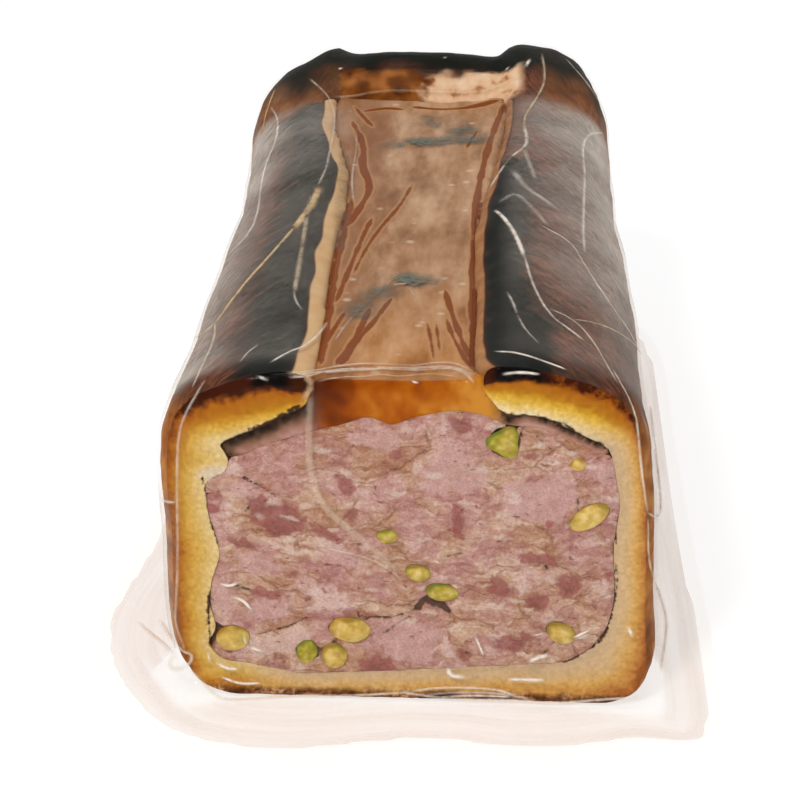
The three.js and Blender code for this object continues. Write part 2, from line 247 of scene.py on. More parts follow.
def grid_cut_face(piece, step):
    """Cuts the flat cut face into a grid of squares."""
    solid = bmesh.new()
    solid.from_mesh(piece.data)
    flat = [face for face in solid.faces if abs(face.calc_center_median().y - loaf_foot.y) < 0.01 * MM]
    flat = bmesh.ops.triangulate(solid, faces=flat)["faces"]
    for across in (Vector((1, 0, 0)), Vector((0, 0, 1))):
        reach = [vertex.co.dot(across) for face in flat for vertex in face.verts]
        geometry = flat + list({edge for face in flat for edge in face.edges})
        geometry += list({vertex for face in flat for vertex in face.verts})
        for place in np.arange(min(reach) + step / 2, max(reach), step):
            split = bmesh.ops.bisect_plane(
                solid, geom=geometry, dist=touching, plane_co=across * place, plane_no=across)
            geometry = split["geom"]
        flat = [item for item in geometry if isinstance(item, bmesh.types.BMFace)]
    solid.to_mesh(piece.data)
    solid.free()


def places(piece):
    """The piece's vertices in the loaf's own millimetres."""
    flat = np.empty(len(piece.data.vertices) * 3, np.float32)
    piece.data.vertices.foreach_get("co", flat)
    return (flat.reshape(-1, 3) - np.array(loaf_foot)) / MM


def move_to(piece, points):
    piece.data.vertices.foreach_set("co", (points * MM + np.array(loaf_foot)).astype(np.float32).ravel())
    piece.data.update()


def facing(piece):
    """The direction that each vertex faces."""
    flat = np.empty(len(piece.data.vertices) * 3, np.float32)
    piece.data.vertex_normals.foreach_get("vector", flat)
    return flat.reshape(-1, 3)


def paint(piece, **layers):
    """Keeps numbers for each vertex, by name, for the piece's material to read."""
    for name, values in layers.items():
        attribute = piece.data.attributes.new(name, "FLOAT", "POINT")
        attribute.data.foreach_set("value", np.asarray(values, np.float32))


def lumps(points, size, seed=0.0):
    """Soft noise from about -0.6 to 0.6, with lumps of a size in millimetres."""
    return np.array([noise.noise(Vector(point) / size + Vector((seed, seed, seed))) for point in points])


def ease(low, high, values):
    """A soft step from nought at low to one at high."""
    t = np.clip((values - low) / (high - low), 0, 1)
    return t * t * (3 - 2 * t)


def surface_of(piece, keep=lambda face: True):
    """A search tree over those faces of a piece that are to be kept."""
    corners = [vertex.co for vertex in piece.data.vertices]
    return BVHTree.FromPolygons(corners, [face.vertices for face in piece.data.polygons if keep(face)])


def gap_to(surface, points):
    """How far each point lies from a surface, in millimetres."""
    found = [surface.find_nearest(Vector(point) * MM + loaf_foot)[3] for point in points]
    return np.array(found) / MM


def distance_to_line(points, line):
    """How far points lie from a line through a few places, in any number of dimensions."""
    nearest = np.full(len(points), 1e9)
    for start, end in zip(np.array(line[:-1], float), np.array(line[1:], float)):
        run = end - start
        along = np.clip((points - start) @ run / max(run @ run, 1e-9), 0, 1)
        nearest = np.minimum(nearest, np.linalg.norm(points - start - along[:, None] * run, axis=1))
    return nearest


def brushed(points):
    """Places along and across the strokes of the glaze, which run inwards and back on each fold.

    On the end wall they run level. The right fold and the end wall each have strokes of their own."""
    out = np.abs(points[:, 0]) + np.maximum(0, fold_height - points[:, 2])
    back, inwards = math.sin(stroke_slant), math.cos(stroke_slant)
    along = points[:, 1] * back - out * inwards + 200 * (points[:, 0] > 0)
    across = points[:, 1] * inwards + out * back
    on_end = points[:, 1] > end_wall
    return np.where(on_end, points[:, 0] + 400, along), np.where(on_end, points[:, 2], across)


# The gaps that the jelly left between crust and meat, painted dark as the shade in them: a half width in
# mm, and places x, z on the cut.
seams = [
    (0.3, [(13.2, 84.2), (17.5, 81.4), (21.8, 79.6), (29.9, 79.0), (35.8, 77.1), (40.5, 73.3),
        (44.1, 72.6)]),
    (0.1, [(47.3, 57.2), (47.9, 54.0), (48.5, 45.8)]), (0.2, [(48.7, 40.7), (49.0, 35.8), (48.8, 30.0)]),
    (0.15, [(48.8, 30.0), (48.3, 26.9), (47.1, 22.5)]), (0.5, [(47.1, 22.5), (45.8, 19.0)]),
    (0.25, [(45.8, 19.0), (44.6, 17.7), (41.8, 15.3), (37.0, 12.3)]),
    (0.2, [(-49.9, 61.4), (-48.9, 56.3), (-48.0, 48.7), (-46.8, 43.8)]),
    (0.25, [(-48.4, 31.6), (-49.4, 28.6), (-49.9, 24.0)]),
    (0.15, [(-49.9, 24.0), (-50.0, 19.7), (-49.4, 15.0)]),
    (0.3, [(-44.1, 71.0), (-41.7, 72.2), (-38.1, 73.8)]),
    (0.5, [(-38.1, 74.2), (-33.8, 76.0), (-29.8, 78.4), (-26.6, 80.8)]),
]


def seam_gap(points):
    """How far points lie outside the seams on the cut, below nought inside them."""
    flat = points[:, [0, 2]]
    return np.min([distance_to_line(flat, line) - width for width, line in seams], axis=0)


crust = merged_copy("crust", "crust_baked")
rounded_with_clean_cut(crust, grain=1.5, rounds=6, face_grain=0.8)

# The film lies on the skin all round, except before the cut, so its distance is the depth under the skin.
film_skin = surface_of(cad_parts["film_top"], lambda face: face.center.y > loaf_foot.y + 3 * MM)
meat_skin = surface_of(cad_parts["forcemeat"])
jelly_skin = surface_of(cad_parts["jelly"])

at = places(crust)
behind = at.copy()
behind[:, 1] = np.maximum(behind[:, 1], 10)
skin_depth = np.minimum(gap_to(film_skin, behind), at[:, 2] + 0.5) - 0.5
skin_depth = np.clip(skin_depth - 1.6 * ease(9, 0, at[:, 1]) * (at[:, 2] > 4), 0, 30)
meat_gap = gap_to(meat_skin, at)
jelly_gap = gap_to(jelly_skin, at)
cut_share = ease(0.35, 0.05, at[:, 1])

# Where the oven burnt the top: lines x, y along the folds and round the rim, with how far it spread.
burns = [
    ([(-31, -3), (-32, 60), (-31, 120), (-34, 165), (-37, 190)], 9),
    ([(21, -3), (21, 50), (21, 95), (22, 140)], 5.5),
    ([(24, -3), (26, 15), (27, 30)], 6),
    ([(-44, 234), (-20, 237), (20, 237), (44, 234)], 16),
]
along, across = brushed(at)
strokes = lumps(np.stack([along / 16, across / 2.2, at[:, 2] * 0], axis=1), 1, 7)
at_rim = ease(rim_starts, rim_stands, at[:, 1])
strokes = strokes * (1 - at_rim) + 0.8 * lumps(at, 12, 9) * at_rim
top = ease(78, 84, at[:, 2])
burn = np.zeros(len(at))
for line, spread in burns:
    away = distance_to_line(at[:, :2], line) / spread
    burn = np.maximum(burn, ease(1.7, 0.8, away + 0.7 * strokes))
burn *= top

# The damp lips of the folds lie near the jelly, and the inner side of the rim rises behind the channel.
lip_gap = jelly_gap + 1.2 * lumps(at, 16, 3) + 1.4 * ease(0, 10, at[:, 0])
lip_gap += 8 * (1 - top)
lip_gap += 8 * ease(205, 212, at[:, 1])
inner_rim = ease(206, 209, at[:, 1]) * ease(219.5, 217.8, at[:, 1] + 2.5 * lumps(at, 5, 6))
inner_rim *= (at[:, 2] > 84) * ease(30, 27, np.abs(at[:, 0] + 3))

# The skin is golden brown beside the cut, on the walls and, less so, at the corners of the rim.
beside_cut = ease(14, 6, at[:, 1] + 4 * lumps(at, 6, 4)) * ease(84, 74, at[:, 2])
walls = ease(78, 62, at[:, 2] + 6 * lumps(at, 10, 4))
rim_corners = ease(185, 205, at[:, 1]) * ease(28, 36, np.abs(at[:, 0])) * ease(40, 75, at[:, 2])
golden = np.maximum(beside_cut, np.maximum(0.35 * rim_corners, 0.85 * walls))

# How far each point of the cut lies from the skin, nought, to the filling, one. The ends of the two folds
# are baked right through, and the left fold more than the right one.
fold = ease(70, 80, at[:, 2])
baked = skin_depth / (skin_depth + np.minimum(meat_gap, jelly_gap) + 0.3)
left_fold = fold * ease(-12, -30, at[:, 0]) * ease(-58, -48, at[:, 0])
baked -= (0.3 * baked + 0.07) * left_fold * ease(1.0, 0.82, baked)
baked -= 0.11 * ease(22, 5, np.hypot(at[:, 0] - 60, at[:, 2]))
fold_ends = np.hypot(at[:, 0] - np.where(at[:, 0] > 0, 15, -24.5), at[:, 2] - 87)
baked -= 0.2 * ease(9, 2, fold_ends)
char = np.maximum(
    ease(-39, -36, at[:, 0]) * ease(-27, -30, at[:, 0]), ease(17, 20, at[:, 0]) * ease(36, 28, at[:, 0]))
char *= fold * ease(1.5, 0.7, skin_depth + lumps(at, 3, 11)) * ease(5, 2, at[:, 1])
left = ease(30, 46, -at[:, 0])
flaky = ease(4, 1.8, at[:, 2] + lumps(at, 3, 8))
suet = ease(1.6, 0.3, np.hypot((at[:, 0] + 46.5) / 4.4, (at[:, 2] - 62.4) / 2.4))
paint(
    crust, cut=cut_share, burn=burn, lip=lip_gap, inner_rim=inner_rim, golden=golden, side=at[:, 0],
    baked=baked, fold=fold, left=left, char=char, flaky=flaky, suet=suet, seam=seam_gap(at),
    along=along, across=across)

# Bubbles and crags of the crust, all of them below the film that lies on it.
relief = 0.25 * lumps(at, 9) + 0.16 * lumps(at, 3.2, 2) + 0.1 * strokes - 0.25
crumb = 0.22 * lumps(at, 2.2, 5) + 0.3 * lumps(at, 7, 9) - 0.3
outside = ease(2.5, 0.5, skin_depth)
at += facing(crust) * (relief * outside * (1 - cut_share))[:, None]
at[:, 1] -= np.minimum(crumb, 0) * cut_share
move_to(crust, at)

# Baked pastry: matt on the cut, with crumbs of 1 mm in patches of 6 mm, and a glazed skin with clouds of
# 17 mm and the strokes of the brush in it, 5 mm long and 1 mm wide. Crumbs finer than 1 mm wouldn't show.
pastry, tree = new_material("baked pastry")
spot = add_node(tree, "TexCoord", {}).outputs["Object"]
cut_share, burn, lip, inner_rim, golden, side, seam, along, across, baked, fold, left, char, flaky, suet = [
    add_node(tree, "Attribute", {}, attribute_name=name).outputs["Fac"] for name in (
        "cut", "burn", "lip", "inner_rim", "golden", "side", "seam", "along", "across", "baked", "fold",
        "left", "char", "flaky", "suet")]
crumbs, patches, broad = [
    add_node(tree, "TexNoise", {
        "Vector": spot, "Scale": lumps_to_metre, "Detail": detail, "Roughness": roughness}).outputs[0]
    for lumps_to_metre, detail, roughness in ((1000, 5, 0.6), (170, 4, 0.5), (60, 5, 0.6))]
stroke_place = add_node(tree, "CombineXYZ", {0: along, 1: across, 2: side})
stroke_scale = add_node(tree, "VectorMath", {0: stroke_place, 1: (0.2, 0.9, 0.02)}, operation="MULTIPLY")
strokes = add_node(tree, "TexNoise", {
    "Vector": stroke_scale, "Scale": 1, "Detail": 8, "Roughness": 0.68, "Distortion": 0.6}).outputs[0]

# On the cut: baked brown under the skin, then golden, then cream along the filling. The folds are yellow.
uneven = baked
for grain, weight in ((patches, 0.24), (crumbs, 0.2)):
    uneven = add_node(tree, "Math", {0: grain, 1: weight, 2: uneven}, operation="MULTIPLY_ADD")
uneven = add_node(tree, "Math", {0: uneven, 1: 0.22}, operation="SUBTRACT")
pale_crumb = add_node(tree, "ValToRGB", {"Fac": uneven}, stops=[
    (0.0, "#9a5624"), (0.08, "#b87238"), (0.2, "#cc9048"), (0.32, "#d8a456"), (0.46, "#dbb174"),
    (0.68, "#d6b488"), (0.92, "#ccac88")])
left_crumb = add_node(tree, "ValToRGB", {"Fac": uneven}, stops=[
    (0.0, "#6e3210"), (0.1, "#985018"), (0.25, "#bc782a"), (0.4, "#ce983c"), (0.6, "#d8ae58"),
    (0.9, "#e4c68a")])
fold_crumb = add_node(tree, "ValToRGB", {"Fac": uneven}, stops=[
    (0.0, "#401806"), (0.06, "#884412"), (0.13, "#b06610"), (0.33, "#b87618"), (0.4, "#c4881c"),
    (0.47, "#d49e2c"), (0.57, "#e0b040"), (0.68, "#e8be5c"), (0.8, "#edcc84"), (0.93, "#eedcb0")])
flake_noise = add_node(tree, "Math", {0: crumbs, 1: patches}, operation="MULTIPLY")
flakes = add_node(tree, "ValToRGB", {"Fac": flake_noise}, stops=[
    (0.15, "#44220e"), (0.24, "#70432a"), (0.3, "#946442"), (0.38, "#be9674")])
suet_noise = add_node(tree, "Math", {0: crumbs, 1: suet}, operation="MULTIPLY")
suet_share = add_node(tree, "MapRange", {
    "Value": suet_noise, "From Min": 0.1, "From Max": 0.5, "To Max": 0.8})
# The seams are painted dark on the crust, a painted shade in the gaps.
seam_noise = add_node(tree, "Math", {0: crumbs, 1: 1.4, 2: seam}, operation="MULTIPLY_ADD")
seam_shade_share = add_node(tree, "MapRange", {"Value": seam_noise, "From Min": 1.05, "From Max": 0.65})
crumb_colour = pale_crumb
for share, over in (
        (left, left_crumb), (fold, fold_crumb), (flaky, flakes), (suet_share, "#dccab8"),
        (char, "#070504"), (seam_shade_share, "#4a3020")):
    crumb_colour = add_node(tree, "MixRGB", {"Fac": share, "Color1": crumb_colour, "Color2": over})
crumb_grain = add_node(tree, "MapRange", {
    "Value": crumbs, "From Min": 0.3, "From Max": 0.7, "To Min": 0.84, "To Max": 1.12})
crumb_colour = add_node(tree, "VectorMath", {0: crumb_colour, 1: crumb_grain}, operation="MULTIPLY")

# Outside: brown glaze, burnt black where it stands highest, pale where the lips of the folds stay damp.
glaze = add_node(tree, "ValToRGB", {"Fac": strokes}, stops=[
    (0.3, "#3c2014"), (0.45, "#603420"), (0.55, "#7c4630"), (0.7, "#986248")])
slate_share = add_node(tree, "MapRange", {"Value": broad, "From Min": 0.42, "From Max": 0.6, "To Max": 0.6})
golden_brown = add_node(tree, "ValToRGB", {"Fac": patches}, stops=[
    (0.3, "#7a4218"), (0.5, "#a8662c"), (0.7, "#c88a48")])
lip_border = add_node(tree, "MapRange", {"Value": lip, "From Min": 6.2, "From Max": 5.4, "To Max": 0.85})
lip_place = add_node(tree, "Math", {0: side, 1: -0.012, 2: patches}, operation="MULTIPLY_ADD")
lip_colour = add_node(tree, "ValToRGB", {"Fac": lip_place}, stops=[
    (0.2, "#a26c44"), (0.5, "#c08a58"), (0.7, "#e0b27c"), (0.95, "#e6be8c")])
lip_share = add_node(tree, "MapRange", {"Value": lip, "From Min": 5.3, "From Max": 4.7})
along_rim = add_node(tree, "Math", {0: patches, 1: 12.0, 2: side}, operation="MULTIPLY_ADD")
right_rim = add_node(tree, "MapRange", {"Value": along_rim, "From Min": -0.5, "From Max": 3.0})
ochre = add_node(tree, "ValToRGB", {"Fac": patches}, stops=[
    (0.3, "#4a2206"), (0.5, "#80440e"), (0.7, "#b46e28")])
peach = add_node(tree, "ValToRGB", {"Fac": patches}, stops=[
    (0.36, "#a86430"), (0.46, "#ecbe94"), (0.7, "#fcdfbe")])
rim_colour = add_node(tree, "MixRGB", {"Fac": right_rim, "Color1": ochre, "Color2": peach})
colour = glaze
for share, over in (
        (slate_share, "#33302a"), (golden, golden_brown), (burn, "#12150e"), (lip_border, "#3c1c0c"),
        (lip_share, lip_colour), (inner_rim, rim_colour), (cut_share, crumb_colour)):
    colour = add_node(tree, "MixRGB", {"Fac": share, "Color1": colour, "Color2": over})
rough_share = add_node(tree, "MapRange", {"Value": burn, "To Min": 0.3, "To Max": 0.04})
bumps = add_node(tree, "Bump", {"Height": crumbs, "Strength": rough_share, "Distance": 0.4 * MM})
surface = add_node(tree, "BsdfPrincipled", {
    "Base Color": colour, "Roughness": 0.5, "Specular IOR Level": 0.02, "Normal": bumps})
add_node(tree, "OutputMaterial", {"Surface": surface})
dress(crust, pastry)

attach(crust, "root")
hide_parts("crust")

# ---- Forcemeat ----
# Coarse pork forcemeat, cooked pink, with smooth pale pieces of ham, redder lean pieces and white fat
# set in it. The knife left it flat but for fine cracks and the edges of its pieces.

# Pieces on the cut, each as its middle x and z, width, height and tilt in degrees.
ham_pieces = [
    (30.3, 57.5, 17.4, 12.9, 0), (9.7, 64.2, 15.5, 12.2, 5), (-39.1, 58.5, 7.1, 7.5, 0),
    (-23.1, 31.4, 12.2, 5.6, -25), (-35.9, 25.3, 10.3, 6.8, 0), (-45.6, 28.5, 6.1, 8.5, 0),
    (-1.0, 17.5, 16.2, 12.7, -25), (45.1, 65.1, 4.7, 6.9, 0), (-8.1, 72.5, 10.3, 5.8, -10),
    (-37.3, 38.0, 12.1, 5.0, -20), (-16.2, 39.9, 9.6, 4.4, -25),
]
fat_pieces = [
    (-31.7, 16.3, 18.5, 5.8, 22), (21.4, 18.4, 5.4, 4.0, -20), (21.8, 57.3, 7.1, 2.1, 10),
    (26.4, 34.2, 3.4, 4.5, 0), (45.7, 33.3, 2.9, 4.5, 0), (-20.0, 28.6, 12.2, 4.5, -30),
    (8.2, 76.8, 5.1, 3.1, 0), (8.1, 15.2, 7.3, 2.9, -40), (-42.0, 64.3, 2.8, 2.7, 0),
    (-30.6, 42.9, 4.3, 2.2, -20),
]
lean_pieces = [
    (-46.5, 56.7, 2.4, 2.4, 0), (-32.8, 51.3, 14.8, 9.3, -25), (-14.4, 52.3, 2.9, 2.4, -30),
    (-29.8, 35.7, 2.9, 2.0, -10), (-7.9, 10.6, 7.9, 4.4, -5), (10.6, 51.6, 2.8, 9.8, 5),
    (21.2, 33.2, 6.7, 5.0, -15), (30.2, 29.2, 5.8, 5.1, 0), (37.5, 34.5, 5.8, 5.6, -10),
    (24.6, 17.7, 9.7, 4.6, 5), (-46.7, 52.9, 3.4, 2.2, 0), (-16.0, 59.9, 3.3, 5.9, 10),
    (2.2, 69.6, 2.3, 2.1, 0), (-36.5, 30.1, 8.3, 1.7, -10), (-40.7, 44.0, 6.8, 2.8, -10),
    (13.0, 13.9, 3.9, 2.9, 0), (28.1, 68.9, 2.8, 1.3, 0), (-15.7, 25.1, 2.9, 1.4, 0),
    (11.0, 76.9, 6.0, 4.2, -20), (-3.0, 68.7, 4.2, 2.6, 0), (30.6, 41.2, 9.5, 3.3, -12),
    (-19.7, 46.7, 6.2, 2.2, -30),
]
# Cracks between the pieces, each a half width in mm and a line through places x and z. The first is the
# hollow that the knife opened beside two of the kernels. They are sunk, and painted dark as the shade in
# them.
cracks = [
    (1.0, [(1.2, 26.6), (2.2, 28.6), (3.8, 29.2), (6.0, 28.0), (8.6, 26.2)]),
    (0.3, [(-40.4, 61.9), (-35.0, 58.6), (-32.2, 56.5)]), (0.25, [(-40.0, 52.2), (-38.2, 55.0)]),
    (0.3, [(-37.8, 18.1), (-30.4, 20.6), (-25.7, 23.3)]), (0.2, [(-35.8, 10.9), (-31.9, 11.3)]),
    (0.3, [(-15.1, 26.8), (-11.5, 24.0), (-4.9, 23.9), (-0.5, 25.5), (1.1, 27.2)]),
    (0.3, [(-7.1, 19.6), (-0.5, 24.4)]), (0.2, [(-2.3, 27.1), (1.1, 29.2)]),
    (0.2, [(22.4, 52.8), (25.5, 52.6)]), (0.3, [(39.0, 57.8), (39.1, 55.1)]),
    (0.2, [(28.9, 74.2), (32.5, 70.3)]), (0.25, [(7.1, 41.1), (11.9, 42.4)]),
    (0.35, [(32.0, 39.6), (32.8, 38.0)]), (0.3, [(-43.5, 32.2), (-38.7, 30.4)]),
    (0.25, [(-21.5, 38.4), (-19.1, 38.5)]), (0.25, [(-9.4, 60.3), (-8.4, 59.2)]),
    (0.3, [(-2.3, 33.3), (-1.3, 32.3)]), (0.2, [(25.6, 78.5), (25.9, 74.1)]),
    (0.25, [(37.5, 25.2), (40.2, 24.7)]), (0.2, [(32.0, 14.4), (34.4, 17.4)]),
    (0.25, [(44.9, 41.6), (47.7, 42.8)]),
]


def inside_pieces(points, pieces):
    """How deep each point x, z lies inside the nearest of the pieces, below nought outside them all."""
    deepest = np.full(len(points), -50.0)
    for x, z, wide, high, tilt in pieces:
        turn = math.radians(tilt)
        right = (points[:, 0] - x) * math.cos(turn) + (points[:, 1] - z) * math.sin(turn)
        up = (points[:, 1] - z) * math.cos(turn) - (points[:, 0] - x) * math.sin(turn)
        angle = np.arctan2(up, right)
        wobble = 1 + 0.1 * np.sin(3 * angle + x) + 0.07 * np.sin(5 * angle + z)
        radius = np.hypot(right / (wide / 2), up / (high / 2)) / wobble
        deepest = np.maximum(deepest, (1 - radius) * min(wide, high) / 2)
    return deepest


def close_up(points, surfaces, reach):
    """Moves the points that lie within reach of the pieces round them, in mm, nearly up to those pieces."""
    for i, point in enumerate(points):
        here = Vector(point) * MM + loaf_foot
        found = [surface.find_nearest(here) for surface in surfaces]
        nearest, _, _, away = min(found, key=lambda hit: hit[3])
        if away < reach * MM:
            points[i] = (here.lerp(nearest, 0.9) - loaf_foot) / MM
    return points


kernel_nodes = [f"pistachio_{number:02d}" for number in range(1, 12)]
forcemeat = merged_copy("forcemeat", "forcemeat_cut")
rounded_with_clean_cut(forcemeat, grain=1.4, rounds=3, face_grain=0.8)
at = places(forcemeat)
flat = at[:, [0, 2]]
ham = inside_pieces(flat, ham_pieces)
fat = inside_pieces(flat, fat_pieces)
lean = inside_pieces(flat, lean_pieces)
crack = np.min([distance_to_line(flat, line) - width for width, line in cracks], axis=0)
seam = seam_gap(at)
cut_share = ease(0.3, 0.05, at[:, 1])
paint(
    forcemeat, ham=ham, fat=fat, lean=lean, crack=np.minimum(crack, seam), jelly=gap_to(jelly_skin, at))

# Each piece stands a little out of the paste round it, and the cracks are cut into it.
dome = 0.3 * np.minimum(1, np.maximum(np.maximum(ham, fat), lean) / 1.2).clip(0)
coarse = 0.35 * lumps(at, 5, 3) + 0.22 * lumps(at, 1.9, 8)
sunk = 1.0 * ease(0.5, -0.9, np.minimum(crack, seam))
kernel_skins = [surface_of(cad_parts[node]) for node in kernel_nodes]
at = close_up(at, [surface_of(crust), jelly_skin] + kernel_skins, reach=1.4)
at[:, 1] -= (dome + coarse - 0.1 - sunk) * cut_share
move_to(forcemeat, at)

# Cooked forcemeat: moist, in chunks of 10 by 4 mm and shreds of 4 by 1.5 mm that run down to the right,
# with mottles of 3 and 9 mm and a fine grain of 0.6 mm.
meat, tree = new_material("cooked forcemeat")
spot = add_node(tree, "TexCoord", {}).outputs["Object"]
ham, fat, lean, crack, jelly_near = [
    add_node(tree, "Attribute", {}, attribute_name=name).outputs["Fac"]
    for name in ("ham", "fat", "lean", "crack", "jelly")]
warp = add_node(tree, "TexNoise", {
    "Vector": spot, "Scale": 170, "Detail": 4, "Roughness": 0.6}).outputs["Color"]
warp = add_node(tree, "VectorMath", {0: warp, 1: (0.006, 0.006, 0.006)}, operation="MULTIPLY")
drifted = add_node(tree, "VectorMath", {0: spot, 1: warp}, operation="ADD").outputs[0]
flowing = add_node(tree, "Mapping", {
    "Vector": drifted, "Rotation": (0, math.radians(22), 0), "Scale": (95, 95, 240)}).outputs[0]
chunks = add_node(tree, "TexVoronoi", {"Vector": flowing, "Scale": 1})
shreds = add_node(tree, "TexVoronoi", {"Vector": flowing, "Scale": 2.7})
fibres = add_node(tree, "TexNoise", {
    "Vector": flowing, "Scale": 3.5, "Detail": 6, "Roughness": 0.7}).outputs[0]
grains = add_node(tree, "TexNoise", {"Vector": spot, "Scale": 1800, "Detail": 3}).outputs[0]
edges = add_node(tree, "TexNoise", {"Vector": spot, "Scale": 380, "Detail": 5, "Roughness": 0.6}).outputs[0]
regions = add_node(tree, "TexNoise", {"Vector": drifted, "Scale": 110, "Detail": 3}).outputs[0]
chunk_tone = add_node(tree, "SeparateColor", {0: chunks.outputs["Color"]}).outputs[0]
shred_tone = add_node(tree, "SeparateColor", {0: shreds.outputs["Color"]}).outputs[1]
tone = -0.18
for part, weight in ((chunk_tone, 0.2), (shred_tone, 0.16), (fibres, 0.7), (edges, 0.5)):
    tone = add_node(tree, "Math", {0: part, 1: weight, 2: tone}, operation="MULTIPLY_ADD")
mauve = add_node(tree, "ValToRGB", {"Fac": tone}, stops=[
    (0.2, "#86504a"), (0.38, "#a66f68"), (0.52, "#b7857c"), (0.68, "#c89c92"), (0.85, "#dabcb0")])
tan = add_node(tree, "ValToRGB", {"Fac": tone}, stops=[
    (0.2, "#86523a"), (0.38, "#a47254"), (0.52, "#b6896a"), (0.68, "#c8a286"), (0.85, "#dabfa8")])
tan_share = add_node(tree, "MapRange", {
    "Value": regions, "From Min": 0.42, "From Max": 0.6, "To Max": 0.85})
chunk_edges, vein_edges = [
    add_node(tree, "TexVoronoi", {"Vector": flowing, "Scale": cells}, feature="DISTANCE_TO_EDGE").outputs[0]
    for cells in (1, 0.55)]
paste = add_node(tree, "MapRange", {"Value": chunk_edges, "From Min": 0.07, "From Max": 0.0, "To Max": 0.4})
broken = add_node(tree, "MapRange", {"Value": regions, "From Min": 0.42, "From Max": 0.55, "To Max": 0.6})
vein = add_node(tree, "MapRange", {"Value": vein_edges, "From Min": 0.035, "From Max": 0.0})
vein = add_node(tree, "Math", {0: vein, 1: broken}, operation="MULTIPLY")
layers = [(tan_share, tan), (paste, "#a06c50"), (vein, "#7e4434")]
pieces = [  # the painted depth, how soft its edge is, how much of it shows, its dark and light colours
    (ham, 0.6, 0.8, "#aa7870", "#e2bab2"),
    (fat, 0.6, 0.76, "#caa092", "#e6ccc2"),
    (lean, 0.5, 0.85, "#5e2622", "#b87068"),
]
for depth, soft, most, dark, light in pieces:
    ragged = add_node(tree, "Math", {0: edges, 1: 6.0, 2: depth}, operation="MULTIPLY_ADD")
    share = add_node(tree, "MapRange", {
        "Value": ragged, "From Min": 3.0 - soft, "From Max": 3.0 + soft, "To Max": most})
    layers.append((share, add_node(tree, "MixRGB", {"Fac": edges, "Color1": dark, "Color2": light})))
soaked = add_node(tree, "Math", {0: edges, 1: 6.0, 2: jelly_near}, operation="MULTIPLY_ADD")
soaked = add_node(tree, "MapRange", {"Value": soaked, "From Min": 4.8, "From Max": 2.0, "To Max": 0.55})
layers.append((soaked, "#b0703c"))


def scattered(tree, place, cells, empty, outer, inner):
    """Small dots, one to a cell of a pattern, in those few cells that aren't left empty."""
    cell = add_node(tree, "TexVoronoi", {"Vector": place, "Scale": cells})
    chance = add_node(tree, "SeparateColor", {0: cell.outputs["Color"]}).outputs[0]
    chosen = add_node(tree, "Math", {0: chance, 1: empty}, operation="GREATER_THAN")
    filled = add_node(tree, "MapRange", {
        "Value": cell.outputs["Distance"], "From Min": outer, "From Max": inner, "To Max": 0.6})
    return add_node(tree, "Math", {0: filled, 1: chosen}, operation="MULTIPLY")


# White shreds of fat, red specks of blood and black specks of pepper, with 1 to 3 cells to each 10 mm.
for hex_colour, *numbers in (
        ("#dcc6b8", 1.7, 0.86, 0.425, 0.175), ("#984640", 1.3, 0.8, 0.255, 0.105),
        ("#5a3426", 3.2, 0.78, 0.272, 0.112)):
    layers.append((scattered(tree, flowing, *numbers), hex_colour))
# Cracks, and the seams along the crust, painted dark as the shade in them.
crack_shade = add_node(tree, "Math", {0: edges, 1: 1.6, 2: crack}, operation="MULTIPLY_ADD")
crack_shade = add_node(tree, "MapRange", {
    "Value": crack_shade, "From Min": 0.85, "From Max": 0.55, "To Max": 0.85})
layers.append((crack_shade, "#452a1c"))
shown = mauve
for share, over in layers:
    shown = add_node(tree, "MixRGB", {"Fac": share, "Color1": shown, "Color2": over})
speck = add_node(tree, "MapRange", {
    "Value": grains, "From Min": 0.3, "From Max": 0.7, "To Min": 0.82, "To Max": 1.16})
shown = add_node(tree, "VectorMath", {0: shown, 1: speck}, operation="MULTIPLY")
bumps = add_node(tree, "Bump", {"Height": tone, "Strength": 0.35, "Distance": 0.4 * MM})
surface = add_node(tree, "BsdfPrincipled", {
    "Base Color": shown, "Roughness": 0.4, "Specular IOR Level": 0.08, "Normal": bumps})
add_node(tree, "OutputMaterial", {"Surface": surface})
dress(forcemeat, meat)

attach(forcemeat, "root")
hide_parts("forcemeat")

# ---- Jelly ----
# Clear amber aspic, poured into the channel between the folds and set. It is browner where it is thick,
# and stands in small ridges under the creases of the film.

# Furrows in the jelly under the film: a half width in mm, and the pixels of the photograph along each.
furrows = [
    (0.6, [(413, 183), (402, 203), (391, 216), (382, 226), (370, 242), (360, 260), (353, 275)]),
    (0.8, [(372, 218), (365, 232), (357, 250), (347, 275), (335, 304)]),
    (1.2, [(352, 121), (365, 147), (361, 166), (372, 187), (360, 208), (346, 228)]),
    (1.1, [(352, 197), (347, 220), (341, 245), (335, 270), (332, 300), (327, 330), (321, 366)]),
    (0.9, [(392, 298), (375, 320), (360, 338), (345, 354), (335, 366)]),
    (1.1, [(370, 308), (360, 330), (352, 345), (340, 366)]),
    (0.8, [(345, 312), (330, 335), (322, 350), (316, 368)]),
    (0.9, [(445, 290), (450, 308), (457, 328), (465, 348), (475, 369)]),
    (0.7, [(446, 318), (453, 338), (463, 355), (470, 369)]), (0.5, [(427, 322), (431, 340), (434, 360)]),
    (0.5, [(436, 322), (440, 354)]),
    (1.1, [(506, 98), (497, 122), (487, 150), (478, 190), (474, 220), (472, 260), (472, 300), (472, 340),
        (471, 372)]),
    (1.0, [(362, 112), (385, 108), (405, 110)]), (1.2, [(412, 107), (440, 110), (470, 108), (500, 100)]),
    (0.9, [(354, 106), (364, 118), (374, 128)]), (0.6, [(478, 130), (470, 142), (465, 152)]),
]
jelly = merged_copy("jelly", "jelly_set")
rounded_with_clean_cut(jelly, grain=1.15, rounds=3, face_grain=1.0)


def softened(line):
    """The same line with its corners cut off twice."""
    for _ in range(2):
        pairs = list(zip(line[:-1], line[1:]))
        quarters = [
            [a + (b - a) * share for a, b in zip(*pair)] for pair in pairs for share in (0.25, 0.75)]
        line = [line[0], *quarters, line[-1]]
    return line


